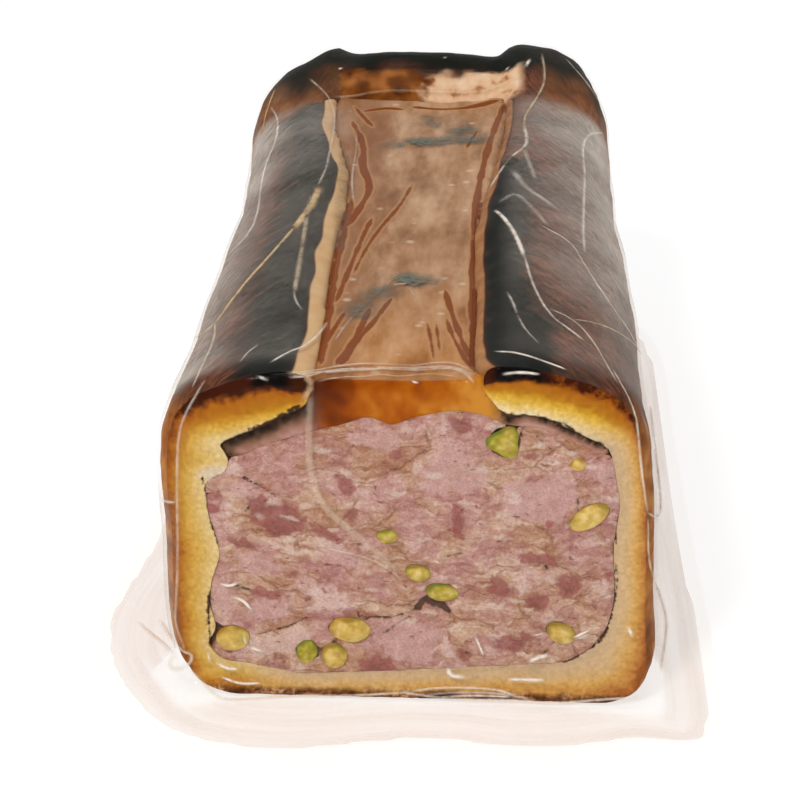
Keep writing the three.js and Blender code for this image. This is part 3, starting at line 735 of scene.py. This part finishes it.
def samples_under(surface, lines):
    """Places in mm on a surface under lines of the photograph's pixels, with the line's own numbers.

    With each goes how strong the line is there: it varies along it, and tails off at both ends."""
    samples = []
    tail_length = 10
    for *numbers, line in lines:
        seen = []
        line = softened(line)
        for start, end in zip(line[:-1], line[1:]):
            count = max(1, round(math.dist(start, end)))
            for i in range(count):
                pixel = [a + (b - a) * i / count for a, b in zip(start, end)]
                hit = surface.ray_cast(camera.location, photo_ray(pixel))[0]
                if hit is not None:
                    seen.append((hit - loaf_foot) / MM)
        for i, place in enumerate(seen):
            tail = math.sin(math.pi / 2 * min(1.0, (i + 1) / tail_length, (len(seen) - i) / tail_length))
            tail *= 0.9 + 0.5 * noise.noise(place / 7)
            samples.append((place, tail, *numbers))
    finder = KDTree(len(samples))
    for i, sample in enumerate(samples):
        finder.insert(sample[0], i)
    finder.balance()
    return samples, finder


def refine_near(piece, finder, *reaches):
    """Divides the faces near some samples, once for each reach in mm."""
    for reach in reaches:
        select_faces(piece, lambda face: finder.find((face.center - loaf_foot) / MM)[2] < reach)
        bpy.ops.mesh.subdivide(number_cuts=1)
        bpy.ops.object.mode_set(mode="OBJECT")


samples, finder = samples_under(surface_of(jelly), furrows)
refine_near(jelly, finder, 2.3, 1.4)
at = places(jelly)
furrow = np.zeros(len(at))
for i, point in enumerate(at):
    place, sample, away = finder.find(point)
    furrow[i] = min(away - samples[sample][1] * samples[sample][2], 5)
furrow += 8 * ease(2, 0.5, at[:, 1])

# Under the folds the jelly is a thin layer that has soaked into the meat. Where it meets the crust it is
# darker, partly its own colour and partly a painted shade under the fold.
to_crust = gap_to(surface_of(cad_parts["crust"]), at)
under_left = ease(-20, -27, at[:, 0])
under_right = ease(17, 22, at[:, 0])
to_crust = to_crust * (1 + 1.6 * under_right) + 0.3 * under_left
low = ease(87, 80, at[:, 2] - 3 * ease(10, -20, at[:, 0]))
paint(
    jelly, furrow=furrow, cut=ease(0.6, 0.1, at[:, 1]), side=at[:, 0], length=at[:, 1],
    to_crust=to_crust, under_folds=np.maximum(under_left, under_right), low=low)
at = close_up(at, [surface_of(crust)], reach=0.9)
at += facing(jelly) * (0.15 * ease(0.4, -0.6, furrow))[:, None]
at[:, 1] = np.maximum(at[:, 1], -0.3)
move_to(jelly, at)

# Aspic: a glossy, cloudy amber, dark at the left of the cut and bright right of it, dull under the film.
# Its clouds are 8 mm wide and 25 mm long, its wisps 2.4 mm, and its bubbles lie some 10 mm apart.
aspic, tree = new_material("aspic")
spot = add_node(tree, "TexCoord", {}).outputs["Object"]
furrow, cut_share, side, length, to_crust, under_folds, low = [
    add_node(tree, "Attribute", {}, attribute_name=name).outputs["Fac"]
    for name in ("furrow", "cut", "side", "length", "to_crust", "under_folds", "low")]
long_clouds = add_node(tree, "Mapping", {"Vector": spot, "Scale": (130, 40, 100)})
clouds = add_node(tree, "TexNoise", {
    "Vector": long_clouds, "Scale": 1, "Detail": 5, "Roughness": 0.6}).outputs[0]
wisps = add_node(tree, "TexNoise", {"Vector": spot, "Scale": 420, "Detail": 4}).outputs[0]
depth = add_node(tree, "Math", {0: side, 1: 0.012, 2: clouds}, operation="MULTIPLY_ADD")
depth = add_node(tree, "Math", {0: low, 1: 0.1, 2: depth}, operation="MULTIPLY_ADD")
cut_colour = add_node(tree, "ValToRGB", {"Fac": depth}, stops=[
    (0.24, "#5b2000"), (0.39, "#863b02"), (0.5, "#a75206"), (0.6, "#b8640e"), (0.76, "#d08a30")])
# Under the folds: darkest next to the crust, partly a painted shade under the fold, then the soaked meat.
soaked_noise = add_node(tree, "Math", {0: wisps, 1: 3.6, 2: to_crust}, operation="MULTIPLY_ADD")
soaked_place = add_node(tree, "MapRange", {"Value": soaked_noise, "From Min": 1.8, "From Max": 7.8})
soaked = add_node(tree, "ValToRGB", {"Fac": soaked_place}, stops=[
    (0.0, "#160e08"), (0.18, "#2e1e14"), (0.34, "#5a4030"), (0.54, "#8c6450"), (0.74, "#aa7c6c"),
    (0.95, "#bc9084")])
cut_colour = add_node(tree, "MixRGB", {"Fac": under_folds, "Color1": cut_colour, "Color2": soaked})

# Under the film: brown further back, orange towards the cut, with crisp dark furrows and pale specks.
back_colour = add_node(tree, "ValToRGB", {"Fac": clouds}, stops=[
    (0.3, "#8e603e"), (0.45, "#ae805a"), (0.58, "#c69a76"), (0.75, "#d8b08c")])
front_colour = add_node(tree, "ValToRGB", {"Fac": clouds}, stops=[
    (0.3, "#98592a"), (0.45, "#b6783c"), (0.58, "#c88a50"), (0.75, "#d8a06c")])
front_noise = add_node(tree, "Math", {0: clouds, 1: 60.0, 2: length}, operation="MULTIPLY_ADD")
front_share = add_node(tree, "MapRange", {"Value": front_noise, "From Min": 100.0, "From Max": 40.0})
left_noise = add_node(tree, "Math", {0: clouds, 1: 14.0, 2: side}, operation="MULTIPLY_ADD")
left_share = add_node(tree, "MapRange", {
    "Value": left_noise, "From Min": -3.0, "From Max": -10.0, "To Max": 0.55})
bubble_share = scattered(tree, spot, 210, 0.78, 0.3, 0.12)
edge_share = add_node(tree, "MapRange", {"Value": furrow, "From Min": 0.9, "From Max": 0.3, "To Max": 0.6})
core_noise = add_node(tree, "Math", {0: wisps, 1: 0.6, 2: furrow}, operation="MULTIPLY_ADD")
core_share = add_node(tree, "MapRange", {
    "Value": core_noise, "From Min": 0.45, "From Max": 0.12, "To Max": 0.92})
colour = back_colour
for share, over in (
        (front_share, front_colour), (left_share, "#8a5024"), (bubble_share, "#e4ccae"),
        (edge_share, "#c4905c"), (core_share, "#843c04"), (cut_share, cut_colour)):
    colour = add_node(tree, "MixRGB", {"Fac": share, "Color1": colour, "Color2": over})
bumps = add_node(tree, "Bump", {"Height": wisps, "Strength": 0.2, "Distance": 0.4 * MM})
surface = add_node(tree, "BsdfPrincipled", {
    "Base Color": colour, "Roughness": 0.25, "Specular IOR Level": 0.02, "Normal": bumps})
add_node(tree, "OutputMaterial", {"Surface": surface})
dress(jelly, aspic)

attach(jelly, "root")
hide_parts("jelly")

# ---- Pistachio kernels ----
# Whole shelled kernels, cooked in the forcemeat and cut or laid bare by the knife. The skin side is
# greener, the inside yellower, and each stands a little out of the meat.

greenness = [0.0, 0.85, 0.05, 0.0, 0.8, 0.5, 0.45, 0.5, -0.3, 0.0, 0.25]
three_sided = [5]  # the kernel under the right fold was cut across, and shows three soft corners

# Cooked pistachio: dense and waxy, yellow flesh under a green skin, mottled at 2 mm.
nut, tree = new_material("pistachio kernel")
spot = add_node(tree, "TexCoord", {}).outputs["Object"]
green, rind = [
    add_node(tree, "Attribute", {}, attribute_name=name).outputs["Fac"] for name in ("green", "rind")]
mottle = add_node(tree, "TexNoise", {"Vector": spot, "Scale": 520, "Detail": 4}).outputs[0]
ripe = add_node(tree, "ValToRGB", {"Fac": mottle}, stops=[
    (0.3, "#c49a46"), (0.5, "#dab65c"), (0.7, "#ebd08c")])
unripe = add_node(tree, "ValToRGB", {"Fac": mottle}, stops=[
    (0.3, "#847c14"), (0.5, "#a69824"), (0.7, "#c8ba4c")])
flesh = add_node(tree, "MixRGB", {"Fac": green, "Color1": ripe, "Color2": unripe})
rind_tone = add_node(tree, "MixRGB", {"Fac": green, "Color1": "#a67a24", "Color2": "#66701a"})
colour = add_node(tree, "MixRGB", {"Fac": rind, "Color1": flesh, "Color2": rind_tone})
surface = add_node(tree, "BsdfPrincipled", {
    "Base Color": colour, "Roughness": 0.32, "Specular IOR Level": 0.2})
add_node(tree, "OutputMaterial", {"Surface": surface})

for number, (node, green_share) in enumerate(zip(kernel_nodes, greenness), start=1):
    kernel = merged_copy(node, f"kernel_{number:02d}")
    shape(kernel, "SUBSURF", levels=2, render_levels=2)
    at = places(kernel)
    low, high = at.min(axis=0), at.max(axis=0)
    middle = (low + high) / 2
    right, up = ((at - middle)[:, [0, 2]] / ((high - low)[[0, 2]] / 2)).T
    from_middle = np.hypot(right, up)
    at += facing(kernel) * (0.22 * lumps(at, 4, number) + 0.15)[:, None]
    at[:, 1] -= 0.55 * ease(1.0, 0.0, from_middle) * ease(3, 0, at[:, 1])
    if number in three_sided:
        corners = 1 + 0.16 * np.cos(3 * (np.arctan2(up, right) - math.pi))
        at[:, [0, 2]] = middle[[0, 2]] + (at - middle)[:, [0, 2]] * corners[:, None]
    move_to(kernel, at)
    skin_side = ease(-0.9, 0.9, up - 0.6 * right)
    paint(
        kernel, rind=skin_side * ease(0.55, 1.0, from_middle + 0.35 * lumps(at, 2, number)),
        green=np.clip(green_share + 0.6 * lumps(at, 4, number + 20) + 0.3 * (from_middle - 0.5), 0, 1))
    dress(kernel, nut)
    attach(kernel, "root")
    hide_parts(node)

# ---- Vacuum film ----
# Two webs of clear film, welded all round. The lower one stays flat, and the upper one was drawn down hot
# over the loaf, so it lies tight on it, with sharp creases where the spare film gathered.

# Creases that stand up in the film: a half width and a height in mm, how milky and how golden each looks,
# and the pixels of the photograph along it. The milk is partly the crease's own whitening and partly a
# painted highlight; the short marks near the end, milky to one, are painted glints.
creases = [
    (0.35, 0.5, 0.35, 0.1, [(310, 79), (327, 94), (334, 109), (335, 125), (330, 151), (326, 170),
        (317, 187)]),
    (1.1, 0.9, 0.55, 0.9, [(319, 186), (315, 200), (307, 212), (293, 231)]),
    (0.45, 0.6, 0.5, 0.8, [(295, 227), (270, 256), (240, 289), (215, 324)]),
    (0.6, 0.5, 0.35, 0.5, [(307, 216), (303, 242), (298, 272), (294, 294)]),
    (0.25, 0.4, 0.4, 0.0, [(294, 290), (295, 300), (302, 310)]),
    (0.35, 0.4, 0.4, 0.0, [(271, 107), (279, 120), (276, 142), (267, 160), (261, 185), (258, 215),
        (247, 237), (227, 256)]),
    (0.3, 0.5, 0.4, 0.7, [(217, 322), (205, 332), (193, 339), (185, 351), (181, 363)]),
    (0.3, 0.4, 0.35, 0.2, [(215, 322), (215, 339), (202, 366), (192, 388)]),
    (0.3, 0.4, 0.6, 0.0, [(327, 322), (320, 333), (310, 342), (303, 347), (293, 350), (283, 355),
        (270, 363)]),
    (0.25, 0.3, 0.4, 0.0, [(258, 345), (248, 352), (240, 362)]),
    (0.5, 0.6, 0.75, 0.0, [(495, 210), (505, 219), (515, 233), (525, 258)]),
    (0.3, 0.5, 0.5, 0.1, [(524, 254), (533, 286), (548, 313), (567, 328), (585, 341)]),
    (0.25, 0.4, 0.4, 0.2, [(540, 225), (572, 242), (583, 262), (598, 286), (615, 310), (630, 333),
        (640, 353)]),
    (0.4, 0.5, 0.4, 0.0, [(607, 133), (589, 133), (582, 147), (585, 172), (584, 200), (583, 233),
        (585, 254)]),
    (0.25, 0.4, 0.4, 0.2, [(550, 309), (575, 320), (595, 343), (608, 367), (618, 384)]),
    (0.25, 0.4, 0.4, 0.3, [(572, 319), (593, 322), (615, 330), (633, 342), (642, 355)]),
    (0.3, 0.5, 0.8, 0.1, [(495, 351), (517, 353), (538, 359), (567, 370)]),
    (0.3, 0.4, 0.55, 0.0, [(507, 292), (513, 302), (517, 314)]),
    (0.25, 0.3, 0.3, 0.0, [(517, 314), (524, 328), (540, 345)]),
    (0.35, 0.5, 0.45, 0.5, [(542, 54), (545, 72), (544, 85), (535, 101), (525, 115), (524, 127)]),
    (0.5, 0.6, 0.45, 0.0, [(524, 125), (527, 137), (526, 147), (512, 156), (503, 167), (490, 188)]),
    (0.3, 0.4, 0.4, 0.2, [(566, 59), (584, 79), (600, 102), (607, 120), (609, 150)]),
    (0.3, 0.5, 0.5, 0.9, [(275, 89), (266, 113), (262, 134)]),
    (0.3, 0.3, 0.35, 0.0, [(356, 130), (357, 147), (351, 179), (354, 204)]),
    (0.5, 0.5, 0.2, 0.8, [(333, 97), (350, 97), (372, 92), (400, 90), (440, 92), (478, 93), (505, 84)]),
    (0.9, 0.5, 0.22, 0.0, [(512, 170), (528, 190), (545, 200), (560, 212)]),
    (0.8, 0.5, 0.2, 0.0, [(500, 202), (515, 192), (530, 205), (548, 226)]),
    (0.7, 0.4, 0.22, 0.0, [(524, 148), (530, 165), (536, 180)]),
    (1.2, 0.3, 0.36, 0.25, [(292, 376), (340, 370), (410, 368), (455, 367), (473, 377)]),
    (0.35, 0.4, 0.5, 0.0, [(388, 282), (398, 276), (410, 275), (425, 279), (440, 279)]),
    (0.25, 0.4, 0.5, 0.0, [(395, 272), (404, 281), (414, 286), (424, 280), (434, 284), (440, 276)]),
    (0.25, 0.4, 0.5, 0.0, [(385, 288), (396, 284), (408, 284), (416, 278), (428, 274)]),
    (0.2, 0.3, 0.3, 0.0, [(410, 288), (415, 298)]),
    (0.3, 0.3, 0.25, 0.0, [(390, 282), (378, 292), (362, 306), (345, 325), (334, 342)]),
    (0.4, 0.5, 0.3, 0.3, [(287, 373), (310, 372), (340, 366), (370, 363), (410, 366), (433, 363),
        (455, 363), (472, 371)]),
    (0.25, 0.4, 0.45, 0.2, [(290, 377), (308, 377), (330, 370), (365, 368), (410, 371), (455, 368),
        (470, 377), (474, 384)]),
    (0.2, 0.3, 0.3, 0.4, [(318, 381), (340, 377), (362, 377), (380, 374), (398, 377), (430, 373),
        (458, 377)]),
    (0.7, 0.8, 0.35, 0.9, [(296, 375), (306, 377), (312, 384), (307, 395), (302, 402)]),
    (0.9, 0.4, 0.22, 0.45, [(311, 396), (308, 437), (309, 462), (314, 487), (324, 508), (350, 530),
        (375, 550), (395, 571)]),
    (0.2, 0.3, 0.25, 0.2, [(325, 548), (367, 557), (392, 570), (402, 581)]),
    (0.3, 0.5, 0.3, 0.3, [(205, 380), (183, 417), (178, 440), (177, 470), (177, 502), (178, 553),
        (176, 603), (175, 623), (185, 650)]),
    (0.3, 0.6, 0.5, 0.0, [(163, 490), (160, 497), (166, 502), (177, 502)]),
    (0.25, 0.5, 0.5, 0.2, [(613, 370), (632, 403), (638, 428), (640, 457), (645, 497), (648, 513)]),
    (0.25, 0.6, 0.55, 0.1, [(648, 513), (655, 517), (661, 514), (660, 487), (650, 405)]),
    (0.25, 0.5, 0.45, 0.5, [(648, 518), (648, 553), (651, 572), (660, 595), (667, 620), (665, 643),
        (660, 672)]),
    (0.25, 0.4, 0.5, 0.5, [(190, 668), (213, 694), (228, 701), (300, 695), (350, 696), (410, 692)]),
    (0.25, 0.5, 0.6, 0.1, [(400, 692), (455, 700), (517, 700), (550, 704), (597, 700), (642, 697)]),
    (0.25, 0.4, 0.6, 0.1, [(413, 691), (440, 687), (493, 688), (517, 696)]),
    (0.2, 0.4, 0.6, 0.1, [(433, 698), (470, 695), (512, 697)]),
    (0.25, 0.4, 0.4, 0.1, [(425, 695), (455, 692), (500, 693), (530, 699)]),
    (0.3, 0.6, 0.4, 0.0, [(138, 622), (150, 633), (163, 643), (175, 655)]),
    (0.35, 0.7, 0.4, 0.0, [(160, 620), (172, 640), (184, 652), (193, 654), (190, 664), (176, 671),
        (168, 664), (176, 655)]),
    # Painted glints: short bright marks where the film would catch the lamps.
    (0.3, 0.5, 1.0, 0.0, [(220, 584), (230, 586), (238, 583)]),
    (0.3, 0.5, 1.0, 0.0, [(233, 597), (243, 600), (253, 611)]),
    (0.3, 0.5, 1.0, 0.0, [(250, 647), (263, 652)]),
    (0.35, 0.5, 1.0, 0.0, [(217, 663), (226, 668), (238, 669)]),
    (0.5, 0.5, 1.0, 0.0, [(529, 662), (538, 657), (549, 655)]),
    (0.25, 0.5, 1.0, 0.0, [(574, 637), (590, 630)]),
    (0.5, 0.5, 1.0, 0.0, [(448, 668), (450, 676), (466, 677)]),
    (0.35, 0.5, 1.0, 0.0, [(508, 679), (545, 680)]), (0.4, 0.6, 1.0, 0.0, [(628, 627), (633, 637)]),
    (0.2, 0.4, 1.0, 0.0, [(475, 636), (484, 656)]), (0.2, 0.4, 0.8, 0.0, [(533, 636), (546, 633)]),
    (0.2, 0.4, 0.8, 0.0, [(208, 652), (210, 663)]), (0.3, 0.5, 0.9, 0.0, [(257, 376), (268, 380)]),
    (0.25, 0.4, 0.9, 0.0, [(222, 677), (240, 684), (262, 683)]),
    (0.25, 0.5, 0.9, 0.0, [(503, 374), (520, 372), (540, 374)]),
    (0.3, 0.4, 1.0, 0.0, [(339, 69), (342, 68)]), (0.3, 0.4, 1.0, 0.0, [(443, 58), (447, 57)]),
    (0.35, 0.4, 1.0, 0.0, [(506, 70), (509, 67)]), (0.5, 0.4, 1.0, 0.0, [(526, 66), (530, 59)]),
    (0.3, 0.4, 1.0, 0.0, [(595, 92), (598, 95)]), (0.25, 0.4, 1.0, 0.0, [(412, 381), (418, 383)]),
    (0.3, 0.4, 1.0, 0.0, [(244, 637), (246, 644)]),
]

# Patches where the film has lifted off the jelly, with a painted grey reflection: a half width in mm, how
# grey, and pixels.
lifted_patches = [
    (8.0, 1.0, [(426, 122), (438, 121)]), (5.5, 0.95, [(452, 127), (474, 134)]),
    (5.0, 0.85, [(402, 142), (488, 138)]), (3.5, 0.7, [(384, 145), (408, 143)]),
    (5.5, 0.85, [(396, 277), (430, 281)]), (5.5, 0.5, [(352, 318), (372, 298), (392, 284)]),
    (2.2, 0.3, [(345, 150), (343, 200), (338, 250)]), (3.0, 0.4, [(506, 158), (514, 166)]),
]

# The outside of the upper web is the outside of the whole pack, cut off where it is welded.
weld_height = 0.95
pack_middle = 120  # along the loaf, for going round the pack's outline
film = merged_copy("film_top", "film_upper")
plinth = merged_copy("film_base", "plinth")
at = places(plinth)
at[:, 2] -= 9 * (at[:, 2] < 0.2)
move_to(plinth, at)
select_only(film)
plinth.select_set(True)
bpy.ops.object.join()
shape(film, "REMESH", mode="VOXEL", voxel_size=2.1 * MM, adaptivity=0)
shape(film, "SMOOTH", factor=0.5, iterations=5)
edit_all(
    film, bpy.ops.mesh.bisect, plane_co=(0, 0, weld_height * MM), plane_no=(0, 0, -1), clear_outer=True)

lift_samples, lift_finder = samples_under(surface_of(film), lifted_patches)
samples, finder = samples_under(surface_of(film), creases)
refine_near(film, finder, 2.1, 1.15, 0.55)

at = places(film)
milk, gold, shade, rise, lift = np.zeros((5, len(at)))
# Each crease stands up, is milky with a painted highlight along it and tinted golden, and gets a painted
# shade along both its sides. Each lifted patch gets a painted grey reflection.
for i, point in enumerate(at):
    place, sample, away = finder.find(point)
    _, tail, width, height, milky, golden = samples[sample]
    rise[i] = 0.6 * height * tail * math.exp(-((away / width) ** 2))
    milk[i] = 1.5 * milky * tail * math.exp(-((away / (0.1 + 0.8 * width)) ** 4))
    gold[i] = golden * math.exp(-((away / (width + 0.5)) ** 2))
    shade[i] = 0.14 * tail * math.exp(-(((away - width - 0.2) / 0.22) ** 2))
    place, sample, away = lift_finder.find(point)
    _, tail, width, reflection_greyness = lift_samples[sample]
    lift[i] = reflection_greyness * tail * max(0, 1 - (away / width) ** 2)
along, across = brushed(at)
# A painted sheen: diffuse white on the film over the folds, strongest on the shoulders, and on the strip
# beside the left wall at the cut. It stands in for the reflection of the studio at a grazing angle.
on_top = ease(66, 83, at[:, 2]) * ease(4, 12, at[:, 1])
sheen = 0.12 * ease(18, 25, at[:, 0]) + 0.15 * ease(26, 42, at[:, 0]) + 0.32 * ease(40, 56, at[:, 0])
sheen *= 0.35 + 0.65 * ease(20, 90, at[:, 1])
sheen += 0.085 * ease(-24, -30, at[:, 0]) + 0.34 * ease(42, 58, -at[:, 0])
sheen += 0.12 * ease(100, 200, at[:, 1]) * ease(24, 34, np.abs(at[:, 0] + 3))
sheen *= on_top * (1 - 0.92 * ease(192, 206, at[:, 1]))
left_wall = ease(-56, -60, at[:, 0]) * ease(14, 4, at[:, 1])
sheen += 0.17 * left_wall * ease(62, 50, at[:, 2]) * ease(3, 8, at[:, 2])

# The welded flange has soft folds that run along its edge.
flange = ease(3.2, 1.3, at[:, 2])
outline = [vertex.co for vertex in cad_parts["film_base"].data.vertices]
outline = np.array([[corner.x, corner.y, 0] for corner in outline]) - np.array([*loaf_foot.xy, 0])
turned = np.arctan2(outline[:, 1] - pack_middle * MM, outline[:, 0])
outline = outline[np.argsort(turned)] / MM
edge_away = np.full(len(at), 1e9)
edge_along = np.zeros(len(at))
run_so_far = 0.0
for start, end in zip(outline, np.roll(outline, -1, axis=0)):
    length = np.linalg.norm(end - start)
    if length < 0.01:
        continue
    ahead = np.clip((at * [1, 1, 0] - start) @ (end - start) / length ** 2, 0, 1)
    away = np.linalg.norm(at * [1, 1, 0] - start - ahead[:, None] * (end - start), axis=1)
    nearer = away < edge_away
    edge_away[nearer] = away[nearer]
    edge_along[nearer] = run_so_far + ahead[nearer] * length
    run_so_far += length
folds = lumps(np.stack([edge_away / 5, edge_along / 60, at[:, 2] * 0], axis=1), 1, 5)
rise += flange * np.maximum(0, 0.3 * folds)
rise += (1 - flange) * (0.12 * lumps(at, 6, 6))
at += facing(film) * rise[:, None]
move_to(film, at)
paint(
    film, milk=milk, gold=gold, shade=shade, sheen=sheen, lift=lift, flange=flange, along=along,
    across=across, edge_away=edge_away, edge_along=edge_along)

# Clear polyamide film: see-through and glossy, milky along its creases, with painted highlights on them
# and a painted shade beside them, and a painted sheen over the strokes of the glaze below it. Where it has
# lifted it carries a painted grey reflection. The folds of its flange, 4 mm wide, carry a painted faint
# pink reflection of the meat. Creases break up at 2 mm, crinkles are 3 mm, and the finest wrinkles, 4 mm,
# are as coarse as they need to be to show.
clear_film, tree = new_material("clear vacuum film")
spot = add_node(tree, "TexCoord", {}).outputs["Object"]
milk, gold, shade, sheen, lift, flange, along, across, edge_away, edge_along = [
    add_node(tree, "Attribute", {}, attribute_name=name).outputs["Fac"] for name in (
        "milk", "gold", "shade", "sheen", "lift", "flange", "along", "across", "edge_away", "edge_along")]
# Along the creases: milk with painted highlights, broken up along each.
breaks = add_node(tree, "TexNoise", {"Vector": spot, "Scale": 500, "Detail": 4}).outputs[0]
breaks = add_node(tree, "MapRange", {"Value": breaks, "From Min": 0.35, "From Max": 0.55, "To Min": 0.6})
crease_milk = add_node(tree, "Math", {0: milk, 1: breaks}, operation="MULTIPLY")
# The painted sheen follows the strokes of the glaze and broad patches.
stroke_place = add_node(tree, "CombineXYZ", {0: along, 1: across, 2: 0.0})
stroke_scale = add_node(tree, "VectorMath", {0: stroke_place, 1: (0.18, 0.8, 1)}, operation="MULTIPLY")
strokes = add_node(tree, "TexNoise", {
    "Vector": stroke_scale, "Scale": 1, "Detail": 8, "Roughness": 0.78, "Distortion": 0.8}).outputs[0]
broad = add_node(tree, "TexNoise", {"Vector": spot, "Scale": 45, "Detail": 4}).outputs[0]
strokes = add_node(tree, "Math", {0: broad, 1: 0.7, 2: strokes}, operation="MULTIPLY_ADD")
strokes = add_node(tree, "MapRange", {
    "Value": strokes, "From Min": 0.6, "From Max": 1.08, "To Min": 0.3, "To Max": 1.7})
sheen_milk = add_node(tree, "Math", {0: sheen, 1: strokes, 2: crease_milk}, operation="MULTIPLY_ADD")
# The painted grey reflection of lifted film, broken up by crinkles.
crinkles = add_node(tree, "TexNoise", {
    "Vector": spot, "Scale": 330, "Detail": 6, "Distortion": 1.5}).outputs[0]
crinkles = add_node(tree, "MapRange", {
    "Value": crinkles, "From Min": 0.36, "From Max": 0.6, "To Min": 0.35, "To Max": 1.3})
grey_milk = add_node(tree, "Math", {0: lift, 1: crinkles}, operation="MULTIPLY", use_clamp=True)
sheen_milk = add_node(tree, "Math", {0: sheen_milk, 1: grey_milk}, operation="ADD")
fold_place = add_node(tree, "CombineXYZ", {0: edge_away, 1: edge_along, 2: 0.0})
fold_scale = add_node(tree, "VectorMath", {0: fold_place, 1: (0.24, 0.012, 1)}, operation="MULTIPLY")
folds = add_node(tree, "TexNoise", {"Vector": fold_scale, "Scale": 1, "Detail": 2}).outputs[0]
folds = add_node(tree, "MapRange", {
    "Value": folds, "From Min": 0.36, "From Max": 0.7, "To Min": 0.2, "To Max": 0.38})
all_milk = add_node(
    tree, "Math", {0: flange, 1: folds, 2: sheen_milk}, operation="MULTIPLY_ADD", use_clamp=True)
grey_reflection_share = add_node(tree, "MapRange", {"Value": lift, "From Max": 0.12})
# The milk is warm white; on the flange it takes a painted pink reflection of the meat, on golden creases it
# is golden, and over lifted film it is the grey of a painted reflection.
milk_and_reflection_tint = "#f3e6d8"
for share, over in ((flange, "#f0d0bc"), (gold, "#e2bc84"), (grey_reflection_share, "#787a70")):
    milk_and_reflection_tint = add_node(tree, "MixRGB", {"Fac": share, "Color1": milk_and_reflection_tint, "Color2": over})
tiny = add_node(tree, "TexNoise", {"Vector": spot, "Scale": 260, "Detail": 3}).outputs[0]
wrinkles = add_node(tree, "Bump", {"Height": tiny, "Strength": 0.06, "Distance": 0.5 * MM})
# Along both sides of each crease the clear film is darkened, a painted shade.
see_through_and_shade = add_node(tree, "MixRGB", {
    "Fac": shade, "Color1": (0.985, 0.98, 0.972, 1), "Color2": "#8a7868"})
clear = add_node(tree, "BsdfTransparent", {"Color": see_through_and_shade})
gloss = add_node(tree, "BsdfGlossy", {"Color": (1, 1, 1, 1), "Roughness": 0.07, "Normal": wrinkles})
slant = add_node(tree, "LayerWeight", {"Blend": 0.5, "Normal": wrinkles}).outputs["Facing"]
slant = add_node(tree, "Math", {0: slant, 1: 5.0}, operation="POWER")
mirror_share = add_node(tree, "Math", {0: slant, 1: 0.08, 2: 0.006}, operation="MULTIPLY_ADD")
wet = add_node(tree, "MixShader", {0: mirror_share, 1: clear, 2: gloss})
milk_and_painted_light_shader = add_node(tree, "BsdfDiffuse", {"Color": milk_and_reflection_tint})
whole = add_node(tree, "MixShader", {0: all_milk, 1: wet, 2: milk_and_painted_light_shader})
add_node(tree, "OutputMaterial", {"Surface": whole})
dress(film, clear_film)
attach(film, "root")
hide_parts("film_top")

# The lower web lies flat on the table, under the loaf and the flange.
base = merged_copy("film_base", "film_lower")
base.data.materials.append(clear_film)
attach(base, "root")
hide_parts("film_base")
